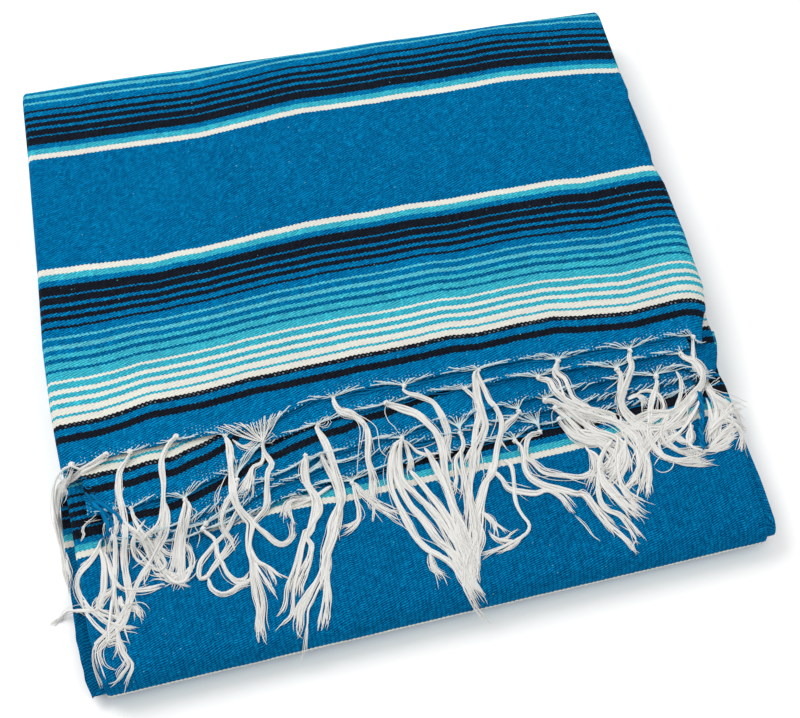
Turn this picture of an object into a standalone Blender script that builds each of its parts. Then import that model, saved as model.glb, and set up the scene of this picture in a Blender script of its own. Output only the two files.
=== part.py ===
"""A striped Mexican serape blanket, folded flat.

The blanket is one loom-woven cloth with knotted warp fringes. It is folded to a
quarter of its width and doubled in length, which gives a bundle of eight layers,
and the bundle is then letter-folded in three: the bottom third lies on the
surface, the near fold brings the middle third back over it, and the far fold
brings the top third forward again, where the staggered fringed ends show.

Units are metres, +Z up. +Y is the far fold, -Y the near fold, X runs across the
width. The origin is the middle of the footprint, on the surface.
"""

import math

import bpy
import numpy as np

# ---------------------------------------------------------------- driving sizes
HALF_WIDTH = 0.1900  # half of the quarter-folded width, before it spreads
FOLD_REACH = 0.1975  # from the middle to the outermost point of a fold
BUNDLE = 0.0112  # eight layers of cloth lying on each other
CLOTH = 0.0020  # wall of a sheet that shows
GAP = 0.0003  # clearance between neighbouring pieces
CROTCH = 0.0004  # radius left inside a fold of the bundle
HIDDEN_HALF_WIDTH = 0.1875  # side of the hidden layers, behind the sheets' lips
GROOVE = 0.0013  # how far the side draws in between two leaves
LEAVES = 4  # folded leaves in the bundle, each of two layers
END_WALL_START = -0.0450  # the end layers start here, in front of the hidden ones
LOWER_SHEET_START = -0.0620  # where the lower sheet comes out from under them
UNDER_NEAR_FOLD = -0.1660  # where the lower sheet's lap under the near fold ends
UNDER_FAR_FOLD = 0.1760  # where the top sheet's lap under the far fold ends
BOTTOM_END = 0.1780  # the bottom third's own fold starts to round here
TOP_LIP = {"left": 0.0050, "right": 0.0085}  # outer radius of the top sheet's sides
LOWER_LIP = {"left": 0.0040, "right": 0.0040}
LIP_DROP = 0.0010  # straight part of a lip below its round
LIP_CLEAR = 0.1700  # inside of the top sheet's curled right side, at its fringed end
LIP_FRONT = -0.0685  # just in front of that curl

HALF = BUNDLE / 2
FAR = FOLD_REACH - BUNDLE  # centre line of the far fold
NEAR = -FAR
Z_TOP = 2.5 * BUNDLE  # middle of the top third
Z_FAR = 2.0 * BUNDLE  # centre of the far fold
Z_MID = 1.5 * BUNDLE
Z_NEAR = 1.0 * BUNDLE
Z_LOW = 0.5 * BUNDLE

# How the stack spreads: half width left and right of the middle, along the depth.
SPREAD = {
    "columns": ("y", "left", "right"),
    "rows": (
        (-0.200, 0.1880, 0.1900),
        (-0.160, 0.1930, 0.1925),
        (-0.120, 0.1942, 0.1935),
        (-0.070, 0.1955, 0.1960),
        (-0.030, 0.1970, 0.1980),
        (0.010, 0.1970, 0.1980),
        (0.060, 0.1945, 0.1950),
        (0.140, 0.1915, 0.1920),
        (0.200, 0.1900, 0.1915),
    ),
}

# How far a line across the cloth turns from the X axis, along the depth.
SKEW = {
    "columns": ("y", "rise"),
    "rows": ((-0.200, 0.033), (-0.120, 0.030), (-0.040, 0.010), (0.060, 0.000), (0.200, -0.030)),
}

# Height of the stack against its full height, at the middle and at each corner.
SAG = {
    "columns": ("y", "left", "middle", "right"),
    "rows": (
        (-0.200, 0.960, 1.000, 0.970),
        (0.000, 0.980, 1.010, 0.985),
        (0.200, 0.970, 1.000, 0.960),
    ),
}

# Where each of the five ends that show stops, top layer first.
ENDS = {
    "columns": ("x", "end_1", "end_2", "end_3", "end_4", "end_5"),
    "rows": (
        (-0.190, -0.0715, -0.0985, -0.1160, -0.1190, -0.1220),
        (-0.160, -0.0705, -0.1000, -0.1170, -0.1200, -0.1230),
        (-0.128, -0.0675, -0.1000, -0.1160, -0.1195, -0.1225),
        (-0.100, -0.0690, -0.0920, -0.1080, -0.1130, -0.1180),
        (-0.075, -0.0700, -0.0800, -0.0990, -0.1050, -0.1130),
        (-0.045, -0.0600, -0.0735, -0.0930, -0.0995, -0.1080),
        (0.000, -0.0605, -0.0700, -0.0905, -0.0970, -0.1060),
        (0.050, -0.0610, -0.0705, -0.0865, -0.0950, -0.1040),
        (0.100, -0.0640, -0.0735, -0.0850, -0.0940, -0.1020),
        (0.150, -0.0655, -0.0755, -0.0840, -0.0925, -0.1000),
        (0.190, -0.0650, -0.0730, -0.0850, -0.0930, -0.0990),
    ),
}

# How far each end reaches to its left and right side.
END_SIDES = {
    "columns": ("end", "left", "right"),
    "rows": ((1, 0.1890, 0.1790), (2, 0.1790, 0.1700), (3, 0.1705, 0.1895), (4, 0.1695, 0.1885), (5, 0.1685, 0.1880)),
}

# The reach of the tangled fringe: three clusters, with how far each goes forward.
FRINGE = {
    "left": {"columns": ("x", "tip"), "rows": ((-0.184, -0.176), (-0.172, -0.190), (-0.150, -0.186), (-0.128, -0.170))},
    "middle": {
        "columns": ("x", "tip"),
        "rows": ((-0.122, -0.165), (-0.100, -0.186), (-0.078, -0.192), (-0.050, -0.176), (-0.020, -0.160), (0.005, -0.176), (0.018, -0.190), (0.032, -0.166)),
    },
    "right": {
        "columns": ("x", "tip"),
        "rows": ((0.038, -0.162), (0.060, -0.168), (0.085, -0.164), (0.105, -0.176), (0.120, -0.160), (0.150, -0.142), (0.172, -0.134)),
    },
}
FRINGE_THICK = 0.0040
FRINGE_TIP = 0.0018

# The layer that sticks out at the lower left, with the cloth's selvedge on it.
STRIP = {
    "columns": ("y", "outer", "inner"),
    "rows": (
        (-0.1945, 0.1975, 0.1912),
        (-0.1840, 0.1985, 0.1912),
        (-0.178, 0.1980, 0.1885),
        (-0.160, 0.1975, 0.1885),
        (-0.125, 0.1965, 0.1885),
        (-0.090, 0.1955, 0.1885),
        (-0.072, 0.1945, 0.1885),
    ),
}
STRIP_HEIGHT = 0.0075

ACROSS = np.array([row[0] for row in ENDS["rows"]]) / HALF_WIDTH
DEPTHS = np.array([-0.045, -0.020, 0.015, 0.050, 0.085, 0.120, 0.150, 0.172])
FOLD_STEPS = 8


# ---------------------------------------------------------------- small tools
def column(table, name, at):
    """The named column of a table, read at a place of its first column."""
    rows = np.array(table["rows"], dtype=float)
    return np.interp(at, rows[:, 0], rows[:, table["columns"].index(name)])


def lie(points):
    """Carries points of the straight stack to where the blanket lies: spread, skewed and sagging."""
    p = np.asarray(points, dtype=float)
    x, y, z = p[..., 0], p[..., 1], p[..., 2]
    wide = np.where(x < 0, column(SPREAD, "left", y), column(SPREAD, "right", y)) / HALF_WIDTH
    side = np.clip(x / HALF_WIDTH, -1, 1)
    ends = np.where(side < 0, column(SAG, "left", y), column(SAG, "right", y))
    high = column(SAG, "middle", y) + (ends - column(SAG, "middle", y)) * side**2
    return np.stack([x * wide, y + column(SKEW, "rise", y) * x, z * high], axis=-1)


def material(name, colour, roughness):
    made = bpy.data.materials.new(name)
    made.use_nodes = True
    shader = made.node_tree.nodes["Principled BSDF"]
    shader.inputs["Base Color"].default_value = (*colour, 1.0)
    shader.inputs["Roughness"].default_value = roughness
    shader.inputs["Metallic"].default_value = 0.0
    made.diffuse_color = (*colour, 1.0)
    return made


def add_object(name, points, faces, look, parent):
    mesh = bpy.data.meshes.new(name)
    mesh.from_pydata([tuple(map(float, p)) for p in points], [], faces)
    mesh.validate()
    mesh.update()
    obj = bpy.data.objects.new(name, mesh)
    bpy.context.scene.collection.objects.link(obj)
    obj.data.materials.append(look)
    obj.parent = parent
    mesh.shade_smooth()
    mesh.set_sharp_from_angle(angle=math.radians(40))
    return obj


def loft(rings, wall=False):
    """Points and faces of a closed body through rings of equal length, capped at both ends.

    A wall's ring runs out along one face and back along the other, and its caps join the two.
    """
    rings = [np.asarray(r, dtype=float) for r in rings]
    n = len(rings[0])
    points = np.concatenate(rings)
    faces = []
    for k in range(len(rings) - 1):
        a, b = k * n, (k + 1) * n
        for i in range(n):
            j = (i + 1) % n
            faces.append((a + i, a + j, b + j, b + i))
    last = (len(rings) - 1) * n
    if wall:
        for i in range(n // 2 - 1):
            cap = (i, i + 1, n - 2 - i, n - 1 - i)
            faces.append(cap[::-1])
            faces.append(tuple(last + c for c in cap))
    else:
        faces.append(tuple(range(n - 1, -1, -1)))
        faces.append(tuple(last + i for i in range(n)))
    # A ring may run either way round, so the volume decides which side is out.
    centre = points.mean(0)
    volume = 0.0
    for face in faces:
        p = points[list(face)] - centre
        for i in range(1, len(face) - 1):
            volume += np.dot(p[0], np.cross(p[i], p[i + 1]))
    if volume < 0:
        faces = [tuple(reversed(face)) for face in faces]
    return points, faces


# ---------------------------------------------------------------- the folded route
def fold(angle, centre, z, way):
    """A station on a fold of the bundle: place and the direction of the blanket's upper face."""
    if way > 0:
        return (centre + HALF * math.sin(angle), z + HALF * math.cos(angle), math.sin(angle), math.cos(angle))
    return (centre - HALF * math.sin(angle), z + HALF * math.cos(angle), math.sin(angle), -math.cos(angle))


def far_fold():
    return [fold(math.pi * k / FOLD_STEPS, FAR, Z_FAR, 1) for k in range(FOLD_STEPS + 1)]


def near_fold():
    return [fold(math.pi * k / FOLD_STEPS, NEAR, Z_NEAR, -1) for k in range(FOLD_STEPS + 1)]


def side_round(w, low, high, r_low, r_high):
    """How far a rounded side draws in at height w between low and high."""
    over = max(0.0, w - (high - r_high))
    under = max(0.0, (low + r_low) - w)
    inset = 0.0
    if over > 0:
        inset = max(inset, r_high - math.sqrt(max(0.0, r_high**2 - over**2)))
    if under > 0:
        inset = max(inset, r_low - math.sqrt(max(0.0, r_low**2 - under**2)))
    return inset


def bundle_section(low, high):
    """The hidden bundle across its width, as (x, w), with a groove between its leaves on both sides."""
    steps = 2 * LEAVES
    r_low = min(0.0018, 0.3 * (high - low))
    sides = {}
    for name in ("right", "left"):
        r_high = min(TOP_LIP[name] - CLOTH - GAP, 0.75 * (high - low))
        side = []
        for i in range(steps + 1):
            w = low + (high - low) * i / steps
            groove = GROOVE if i in (2, 4, 6) else 0.0
            side.append((HIDDEN_HALF_WIDTH - side_round(w, low, high, r_low, r_high) - groove, w))
        sides[name] = side
    inner = ACROSS[1:-1]
    ring = [(x, w) for x, w in sides["right"]]
    ring += [(HIDDEN_HALF_WIDTH * a, high) for a in inner[::-1]]
    ring += [(-x, w) for x, w in reversed(sides["left"])]
    ring += [(HIDDEN_HALF_WIDTH * a, low) for a in inner]
    return ring


def hidden_layers():
    top_face = HALF - CLOTH - GAP
    free = HALF - GAP / 2
    tight = HALF - CROTCH
    stations = []  # (y, z, ny, nz, low, high, scale)
    for y in DEPTHS:
        stations.append((y, Z_TOP, 0, 1, -free, top_face, 1))
    for s in far_fold():
        stations.append((*s, -tight, top_face, 1))
    for y, low, high in (
        (UNDER_FAR_FOLD - 0.002, -free, top_face),
        (UNDER_FAR_FOLD - 0.004, -free, free),
        (0.150, -free, free),
        (0.120, -free, free),
        (0.085, -free, free),
        (0.050, -free, free),
        (0.015, -free, free),
        (-0.020, -free, free),
        (LOWER_SHEET_START + 0.003, -free, free),
        (LOWER_SHEET_START + 0.001, -top_face, free),
        (-0.095, -top_face, free),
        (-0.130, -top_face, free),
        (-0.160, -top_face, free),
    ):
        stations.append((y, Z_MID, 0, -1, low, high, 1))
    for s in near_fold():
        stations.append((*s, -top_face, tight, 1))
    for y, low in (
        (UNDER_NEAR_FOLD + 0.001, -top_face),
        (UNDER_NEAR_FOLD + 0.003, -HALF),
        (-0.130, -HALF),
        (-0.095, -HALF),
        (-0.060, -HALF),
        (-0.020, -HALF),
        (0.015, -HALF),
        (0.050, -HALF),
        (0.085, -HALF),
        (0.120, -HALF),
        (0.150, -HALF),
        (BOTTOM_END, -HALF),
    ):
        stations.append((y, Z_LOW, 0, 1, low, free, 1))
    for turn in (30, 60, 82):
        a = math.radians(turn)
        stations.append((BOTTOM_END + HALF * math.sin(a), Z_LOW, 0, 1, -HALF, free, math.cos(a)))
    rings = []
    for y, z, ny, nz, low, high, scale in stations:
        ring = [(x, y + ny * w * scale, z + nz * w * scale) for x, w in bundle_section(low, high)]
        rings.append(lie(ring))
    return loft(rings)


# ---------------------------------------------------------------- sheets that show
def lip_profile(lips, depth):
    """A sheet across its width as (x, drop): flat in the middle, round at both sides.

    depth is 0 on the outer face and the wall's thickness on the inner one.
    """
    half = []
    for side, sign in (("left", -1), ("right", 1)):
        r = lips[side]
        inner = r - depth
        part = [(sign * (HALF_WIDTH - r + inner * math.sin(a)), depth + inner * (1 - math.cos(a))) for a in np.radians([0, 22.5, 45, 67.5, 90])]
        part.append((sign * (HALF_WIDTH - depth), r + LIP_DROP))
        half.append(part)
    flat = [(HALF_WIDTH * a, depth) for a in ACROSS[1:-1]]
    return half[0][::-1] + flat + half[1]


def sheet(stations, outward, lips, narrow=None):
    """A closed wall of cloth along a route of stations, each a function of x.

    outward is +1 where the blanket's upper face is outside and -1 where its lower one is.
    """
    rings = []
    for station in stations:
        ring = []
        for depth in (0.0, CLOTH):
            line = lip_profile(lips, depth)
            if depth:
                line = line[::-1]
            for x, drop in line:
                y, z, ny, nz, width_right = station(x)
                w = outward * (HALF - drop)
                ring.append((x * (width_right if x > 0 else 1.0), y + ny * w, z + nz * w))
        rings.append(lie(ring))
    return loft(rings, wall=True)


def level(y, z, nz, width_right=1.0):
    return lambda x: (y, z, 0, nz, width_right)


def turned(station):
    return lambda x: (*station, 1.0)


def top_sheet():
    """The top layer: from its fringed end over the top, round the far fold and under it."""
    right = END_SIDES["rows"][0][2] / HALF_WIDTH
    stations = []
    for part, width in ((0.0, right), (0.13, 0.35 * right + 0.65), (0.24, 1.0), (0.6, 1.0)):
        stations.append(
            lambda x, part=part, width=width: (
                column(ENDS, "end_1", x * (width if x > 0 else 1)) * (1 - part) + DEPTHS[1] * part,
                Z_TOP,
                0,
                1,
                width,
            )
        )
    stations += [level(y, Z_TOP, 1) for y in DEPTHS[1:]]
    stations += [turned(s) for s in far_fold()]
    stations.append(level(UNDER_FAR_FOLD, Z_MID, -1))
    return sheet(stations, 1, TOP_LIP)


def lower_sheet():
    """The plain band below the fringe: out from under the ends, round the near fold and under it."""
    stations = [level(y, Z_MID, -1) for y in (LOWER_SHEET_START, -0.095, -0.130, -0.160)]
    stations += [turned(s) for s in near_fold()]
    stations.append(level(UNDER_NEAR_FOLD, Z_LOW, 1))
    return sheet(stations, -1, LOWER_LIP)


def end_top(number):
    """Height of the upper face of an end layer."""
    wall = (BUNDLE - CLOTH - GAP - 4 * GAP) / 4
    return 3 * BUNDLE - CLOTH - GAP - (number - 2) * (wall + GAP), wall


def end_layer(number):
    """A fringed end under the top sheet, with rounded sides and a rounded front."""
    top, wall = end_top(number)
    _, left, right = END_SIDES["rows"][number - 1]
    inset = wall * 0.3
    xs = [-left, 0.002 - left] + [left * a for a in (-0.86, -0.68, -0.52, -0.38, -0.22, -0.06)]
    xs += [0.025, 0.060, 0.095, 0.130, LIP_CLEAR - 0.010]
    if right > LIP_CLEAR:
        xs.append(LIP_CLEAR + 0.002)
    xs += [right - 0.002, right]
    rings = []
    for x in xs:
        # Past the top sheet's curled right side only the part in front of it shows.
        back = END_WALL_START - GAP if x < LIP_CLEAR else LIP_FRONT
        side = 0.45 if x in (xs[0], xs[-1]) else 1.0
        front = float(column(ENDS, "end_%d" % number, x))
        mid = top - wall / 2
        h = wall / 2 * side
        ring = [
            (x, back, mid + h),
            (x, (back + front) / 2, mid + h),
            (x, front + inset, mid + h),
            (x, front, mid),
            (x, front + inset, mid - h),
            (x, (back + front) / 2, mid - h),
            (x, back, mid - h),
        ]
        rings.append(lie(ring))
    return loft(rings)


def fringe(cluster):
    """The plain solid that a cluster of knotted fringe takes up, from the ends down to its tips."""
    table = FRINGE[cluster]
    rings = []
    xs = np.array([row[0] for row in table["rows"]])
    xs = np.sort(np.unique(np.concatenate([xs, (xs[1:] + xs[:-1]) / 2])))
    for x in xs:
        tip = float(column(table, "tip", x))
        ends = [float(column(ENDS, "end_%d" % k, x)) for k in (1, 2, 3, 4, 5)]
        floor = [(ends[0] - 0.0035, end_top(2)[0] + 2 * GAP)]
        for k in (2, 3, 4, 5):
            floor.append((ends[k - 1] - 0.0020, end_top(k)[0] + 3 * GAP))
        rest = 2 * BUNDLE + GAP
        foot = ends[4] - 0.0075
        floor.append((foot, rest))
        floor += [(foot + (tip - foot) * part, rest) for part in (0.33, 0.66, 1.0)]
        n = len(floor)
        roof = []
        for i, (y, z) in enumerate(floor):
            thick = CLOTH * 0.8 if i == 0 else (FRINGE_TIP if i == n - 1 else FRINGE_THICK)
            roof.append((y, z + thick))
        ring = [(x, y, z) for y, z in floor] + [(x, y, z) for y, z in reversed(roof)]
        rings.append(lie(ring))
    return loft(rings)


def side_strip():
    """The selvedge of a lower layer, sticking out along the lower left side."""
    rings = []
    for y, outer, inner in STRIP["rows"]:
        t = CLOTH / 2
        ring = [
            (-inner, y, STRIP_HEIGHT - t),
            (-inner, y, STRIP_HEIGHT + t),
            (-outer + 0.0008, y, STRIP_HEIGHT + t),
            (-outer, y, STRIP_HEIGHT + 0.3 * t),
            (-outer, y, STRIP_HEIGHT - 0.3 * t),
            (-outer + 0.0008, y, STRIP_HEIGHT - t),
        ]
        rings.append(lie(ring))
    return loft(rings)


# ---------------------------------------------------------------- build
def clear_scene():
    for obj in list(bpy.data.objects):
        bpy.data.objects.remove(obj, do_unlink=True)


def main():
    clear_scene()
    frame = bpy.data.objects.new("serape_frame", None)
    bpy.context.scene.collection.objects.link(frame)
    blue = material("plain_blue_cloth", (0.0, 0.152, 0.40), 0.9)
    dark = material("dark_blue_cloth", (0.0, 0.115, 0.32), 0.9)
    turquoise = material("turquoise_cloth", (0.04, 0.42, 0.60), 0.9)
    white = material("off_white_warp", (0.80, 0.78, 0.72), 0.85)
    pieces = [("hidden_layers", hidden_layers(), dark), ("top_sheet", top_sheet(), turquoise), ("lower_sheet", lower_sheet(), blue)]
    pieces += [("end_layer_%d" % k, end_layer(k), (blue, dark)[k % 2]) for k in (2, 3, 4, 5)]
    pieces.append(("side_selvedge", side_strip(), blue))
    pieces += [("fringe_" + name, fringe(name), white) for name in FRINGE]
    # The middle of the footprint is the origin.
    every = np.concatenate([points for _, (points, _), _ in pieces])
    low, high = every.min(0), every.max(0)
    shift = np.array([-(low[0] + high[0]) / 2, -(low[1] + high[1]) / 2, -low[2]])
    for name, (points, faces), look in pieces:
        add_object(name, points + shift, faces, look, frame)


main()
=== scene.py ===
"""Looks of the folded serape blanket: its striped cloth, its hidden leaves and its knotted fringe.

All lengths are metres unless a name ends in mm. Points are first written for the straight
stack, as the CAD does, and then carried to where the blanket lies by place().
"""

import math

import bpy
import numpy as np
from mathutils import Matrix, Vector
from mathutils.bvhtree import BVHTree


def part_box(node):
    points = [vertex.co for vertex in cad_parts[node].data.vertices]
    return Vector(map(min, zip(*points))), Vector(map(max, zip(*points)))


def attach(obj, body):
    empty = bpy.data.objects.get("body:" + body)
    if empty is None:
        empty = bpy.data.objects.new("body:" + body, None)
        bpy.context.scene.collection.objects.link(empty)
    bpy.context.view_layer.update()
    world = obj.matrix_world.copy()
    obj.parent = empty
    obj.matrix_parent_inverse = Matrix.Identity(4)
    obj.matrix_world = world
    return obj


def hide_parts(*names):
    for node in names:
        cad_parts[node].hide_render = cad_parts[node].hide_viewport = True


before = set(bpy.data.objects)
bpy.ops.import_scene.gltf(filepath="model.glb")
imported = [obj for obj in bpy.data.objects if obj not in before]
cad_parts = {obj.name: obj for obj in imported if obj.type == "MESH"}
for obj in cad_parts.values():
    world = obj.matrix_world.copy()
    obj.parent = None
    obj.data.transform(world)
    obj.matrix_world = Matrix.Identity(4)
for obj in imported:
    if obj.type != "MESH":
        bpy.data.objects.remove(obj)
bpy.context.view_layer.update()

# ---------------------------------------------------------------- sizes of the stack, as in the CAD
HALF_WIDTH = 0.1900
FOLD_REACH = 0.1975
BUNDLE = 0.0112
LOWER_SHEET_START = -0.0620
UNDER_NEAR_FOLD = -0.1660
UNDER_FAR_FOLD = 0.1760
BOTTOM_END = 0.1780
STRIP_HEIGHT = 0.0075
HALF = BUNDLE / 2
FAR = FOLD_REACH - BUNDLE
NEAR = -FAR
Z_TOP = 2.5 * BUNDLE
Z_FAR = 2.0 * BUNDLE
Z_MID = 1.5 * BUNDLE
Z_NEAR = 1.0 * BUNDLE
Z_LOW = 0.5 * BUNDLE

# y, left, right
SPREAD = np.array(
    (
        (-0.200, 0.1880, 0.1928),
        (-0.160, 0.1930, 0.1940),
        (-0.120, 0.1942, 0.1935),
        (-0.070, 0.1955, 0.1960),
        (-0.030, 0.1970, 0.1980),
        (0.010, 0.1970, 0.1980),
        (0.060, 0.1945, 0.1950),
        (0.140, 0.1915, 0.1920),
        (0.200, 0.1900, 0.1915),
    )
)
# y, rise
SKEW = np.array(((-0.200, 0.033), (-0.120, 0.030), (-0.040, 0.010), (0.060, 0.000), (0.200, -0.030)))
# y, left, middle, right
SAG = np.array(((-0.200, 0.960, 1.000, 0.970), (0.000, 0.980, 1.010, 0.985), (0.200, 0.970, 1.000, 0.960)))
# x, then where each of the five ends that show stops, top layer first
ENDS = np.array(
    (
        (-0.190, -0.0715, -0.0985, -0.1160, -0.1190, -0.1220),
        (-0.160, -0.0705, -0.1000, -0.1170, -0.1200, -0.1230),
        (-0.128, -0.0675, -0.1000, -0.1160, -0.1195, -0.1225),
        (-0.100, -0.0690, -0.0920, -0.1080, -0.1130, -0.1180),
        (-0.075, -0.0700, -0.0800, -0.0990, -0.1050, -0.1130),
        (-0.045, -0.0600, -0.0735, -0.0930, -0.0995, -0.1080),
        (0.000, -0.0605, -0.0700, -0.0905, -0.0970, -0.1060),
        (0.050, -0.0610, -0.0705, -0.0865, -0.0950, -0.1040),
        (0.100, -0.0640, -0.0735, -0.0850, -0.0940, -0.1020),
        (0.150, -0.0655, -0.0755, -0.0840, -0.0925, -0.1000),
        (0.190, -0.0650, -0.0730, -0.0850, -0.0930, -0.0990),
    )
)
# end number: how far it reaches left and right of the middle
END_SIDES = {2: (0.1790, 0.1700), 3: (0.1705, 0.1895), 4: (0.1695, 0.1885), 5: (0.1685, 0.1880)}
# y, outer, inner
STRIP = np.array(
    (
        (-0.1945, 0.1975, 0.1912),
        (-0.1840, 0.1985, 0.1912),
        (-0.1780, 0.1980, 0.1885),
        (-0.1600, 0.1975, 0.1885),
        (-0.1250, 0.1965, 0.1885),
        (-0.0900, 0.1955, 0.1885),
        (-0.0720, 0.1945, 0.1885),
    )
)

# How the top sheet's sides round over the stack: y, inset from the side, width and height of the round, in mm.
TOP_RIGHT_MM = np.array(
    (
        (-0.066, 12.0, 10.0, 5.0),
        (-0.055, 8.0, 12.0, 7.0),
        (-0.045, 3.0, 14.0, 9.0),
        (-0.030, 0.0, 13.0, 12.0),
        (-0.010, 0.0, 10.0, 14.0),
        (0.020, 0.0, 7.0, 13.0),
        (0.045, 0.5, 4.0, 8.0),
        (0.058, 3.0, 3.0, 4.0),
        (0.070, 5.0, 2.6, 2.8),
        (0.090, 5.0, 2.4, 2.7),
        (0.110, 3.5, 2.4, 2.7),
        (0.122, 0.5, 2.6, 3.5),
        (0.140, 0.0, 3.2, 7.0),
        (0.200, 0.0, 3.0, 6.0),
    )
)
TOP_LEFT_MM = np.array(((-0.072, 0.6, 4.0, 4.5), (-0.050, 0.0, 4.5, 6.0), (0.000, 0.0, 4.0, 6.0), (0.100, 0.0, 3.5, 6.0), (0.200, 0.0, 3.0, 6.0)))
# The same for the lower sheet.
LOWER_RIGHT_MM = np.array(
    (
        (-0.200, 5.8, 2.5, 2.6),
        (-0.170, 5.5, 2.5, 2.6),
        (-0.150, 5.0, 2.4, 2.6),
        (-0.130, 4.0, 2.4, 2.6),
        (-0.115, 3.0, 2.4, 2.6),
        (-0.107, 2.6, 2.4, 2.6),
        (-0.099, 3.2, 2.4, 2.6),
        (-0.092, 4.8, 2.4, 2.6),
        (-0.085, 4.8, 2.4, 2.6),
        (-0.078, 2.6, 2.4, 2.6),
        (-0.070, 0.8, 2.4, 2.6),
        (-0.060, 0.5, 2.4, 2.6),
    )
)
LOWER_LEFT_MM = np.array(((-0.200, 0.4, 2.6, 3.2), (-0.060, 0.4, 2.6, 3.2)))

# ---------------------------------------------------------------- stripes, as distances across the cloth in mm
# Lines of the pattern on the top sheet, as (x, y) in mm where they lie: the plain band's far side, its near side,
# and the boundary between the white stripe and the black one next to the fringe.
BAND_FAR = np.array(((-191, 142.9), (-171, 141.8), (-140, 140.6), (-114, 139.2), (-83, 138.0), (-18, 142.7), (47, 141.9), (80, 141.6), (119, 141.4), (164, 136.7), (187, 133.5)))
BAND_NEAR = np.array(((-193, 60.8), (-168, 59.1), (-126, 55.9), (-93, 56.2), (-33, 60.6), (29.5, 60.8), (61, 59.5), (123, 60.0), (143, 58.0), (185, 59.1), (191, 57.8)))
WHITE_BLACK = np.array(((-198, -46.5), (-168, -46.5), (-139, -41.3), (-108, -41.3), (-78, -38.4), (-51, -38.0), (8, -37.1), (39, -35.9), (54, -37.1), (101, -35.4), (117, -38.4), (147, -40.9), (179, -39.2), (194, -41.7)))
LOWER_WHITE = np.array(((-186, -125.2), (-152, -125.7), (-113, -125.0), (-83, -121.6), (-66, -121.5), (-39, -122.5), (-21, -121.7), (0, -121.4), (28, -120.5), (66, -119.8), (95, -118.8), (186, -112.6)))
BAND_MM = 82.0
WHITE_BLACK_MM = 97.52
PERIOD_MM = 266.0
# How far each hidden end's cloth goes past the plain band, at the fringe.
END_LENGTH_MM = {
    2: np.array(((-190, 121.0), (-100, 121.5), (-50, 127.0), (0, 126.0), (190, 128.0))),
    3: np.array(((-190, 118.0), (-45, 119.0), (0, 123.0), (75, 131.0), (165, 131.0), (190, 132.5))),
    4: np.array(((-190, 124.0), (0, 121.0), (190, 127.0))),
    5: np.array(((-190, 128.0), (0, 126.0), (190, 122.0))),
}


STRIP_WHITE = -111.4


def at(table, y, name=1):
    return np.interp(y, table[:, 0], table[:, name])


def lie(points):
    """Carries points of the straight stack to where the blanket lies: spread, skewed and sagging."""
    p = np.asarray(points, dtype=float)
    x, y, z = p[..., 0], p[..., 1], p[..., 2]
    wide = np.where(x < 0, at(SPREAD, y, 1), at(SPREAD, y, 2)) / HALF_WIDTH
    side = np.clip(x / HALF_WIDTH, -1, 1)
    ends = np.where(side < 0, at(SAG, y, 1), at(SAG, y, 3))
    middle = at(SAG, y, 2)
    high = middle + (ends - middle) * side**2
    return np.stack([x * wide, y + at(SKEW, y) * x, z * high], axis=-1)


# The CAD centres its footprint on the origin, which moves the stack a little.
SHIFT = np.array([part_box("top_sheet")[1].x - 0.1980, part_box("top_sheet")[1].y - 0.20295089, 0.0])


def waves(seed, lengths_mm, heights_mm):
    """A fixed sum of sine waves over the plan, each its own way round."""
    rng = np.random.default_rng(seed)
    turn = rng.uniform(0, math.tau, len(lengths_mm))
    phase = rng.uniform(0, math.tau, len(lengths_mm))

    def height(x, y):
        total = 0.0
        for length, high, a, b in zip(lengths_mm, heights_mm, turn, phase):
            k = math.tau / (length / 1000)
            total = total + high / 1000 * np.sin(k * (np.cos(a) * x + np.sin(a) * y) + b)
        return total

    return height


ripple = waves(11, (34, 47, 63, 88, 118, 160, 230), (0.05, 0.08, 0.12, 0.17, 0.26, 0.32, 0.30))

# Soft troughs and ridges of the top of the stack: from (x, y), to (x, y), half width, height, in mm.
CREASES_MM = (
    (-196, 18, -120, 30, 9, -0.45),
    (-60, -58, -96, 10, 12, -0.40),
    (40, -60, 20, -20, 10, 0.35),
    (120, -62, 168, -10, 9, -0.55),
    (150, 60, 176, 118, 7, -0.60),
    (60, 196, 72, 150, 12, -0.35),
    (-110, 198, -96, 160, 14, 0.35),
    (-150, -196, -120, -150, 10, -0.30),
    (120, -190, 165, -150, 9, -0.40),
    (20, -150, 60, -118, 12, 0.25),
    (-176, 90, -150, 120, 10, 0.30),
)


def creases(x, y):
    total = np.zeros(np.shape(x))
    for ax, ay, bx, by, half, high in CREASES_MM:
        a, b = np.array((ax, ay)) / 1000, np.array((bx, by)) / 1000
        d = b - a
        length = np.hypot(*d)
        along = ((x - a[0]) * d[0] + (y - a[1]) * d[1]) / length**2
        off = ((x - a[0]) * -d[1] + (y - a[1]) * d[0]) / length
        fade = np.clip(1 - np.abs(along - 0.5) * 1.6, 0, 1)
        fade = fade * fade * (3 - 2 * fade)
        total = total + high / 1000 * fade * np.exp(-((off / (half / 1000)) ** 2))
    return total


def place(points, shape=True):
    """Straight stack to the row frame, with the cloth's unevenness growing with height."""
    p = lie(points)
    if shape:
        share = np.clip(p[..., 2] / (3 * BUNDLE), 0, 1.1)
        rise = ripple(p[..., 0], p[..., 1]) + creases(p[..., 0], p[..., 1])
        p[..., 2] = p[..., 2] + rise * share
    return p + SHIFT


def stack_xy_mm(x, y):
    """Where a point of the straight stack lies in plan, in mm, before the footprint is centred."""
    wide = np.where(x < 0, at(SPREAD, y, 1), at(SPREAD, y, 2)) / HALF_WIDTH
    return x * wide * 1000, (y + at(SKEW, y) * x) * 1000


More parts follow.
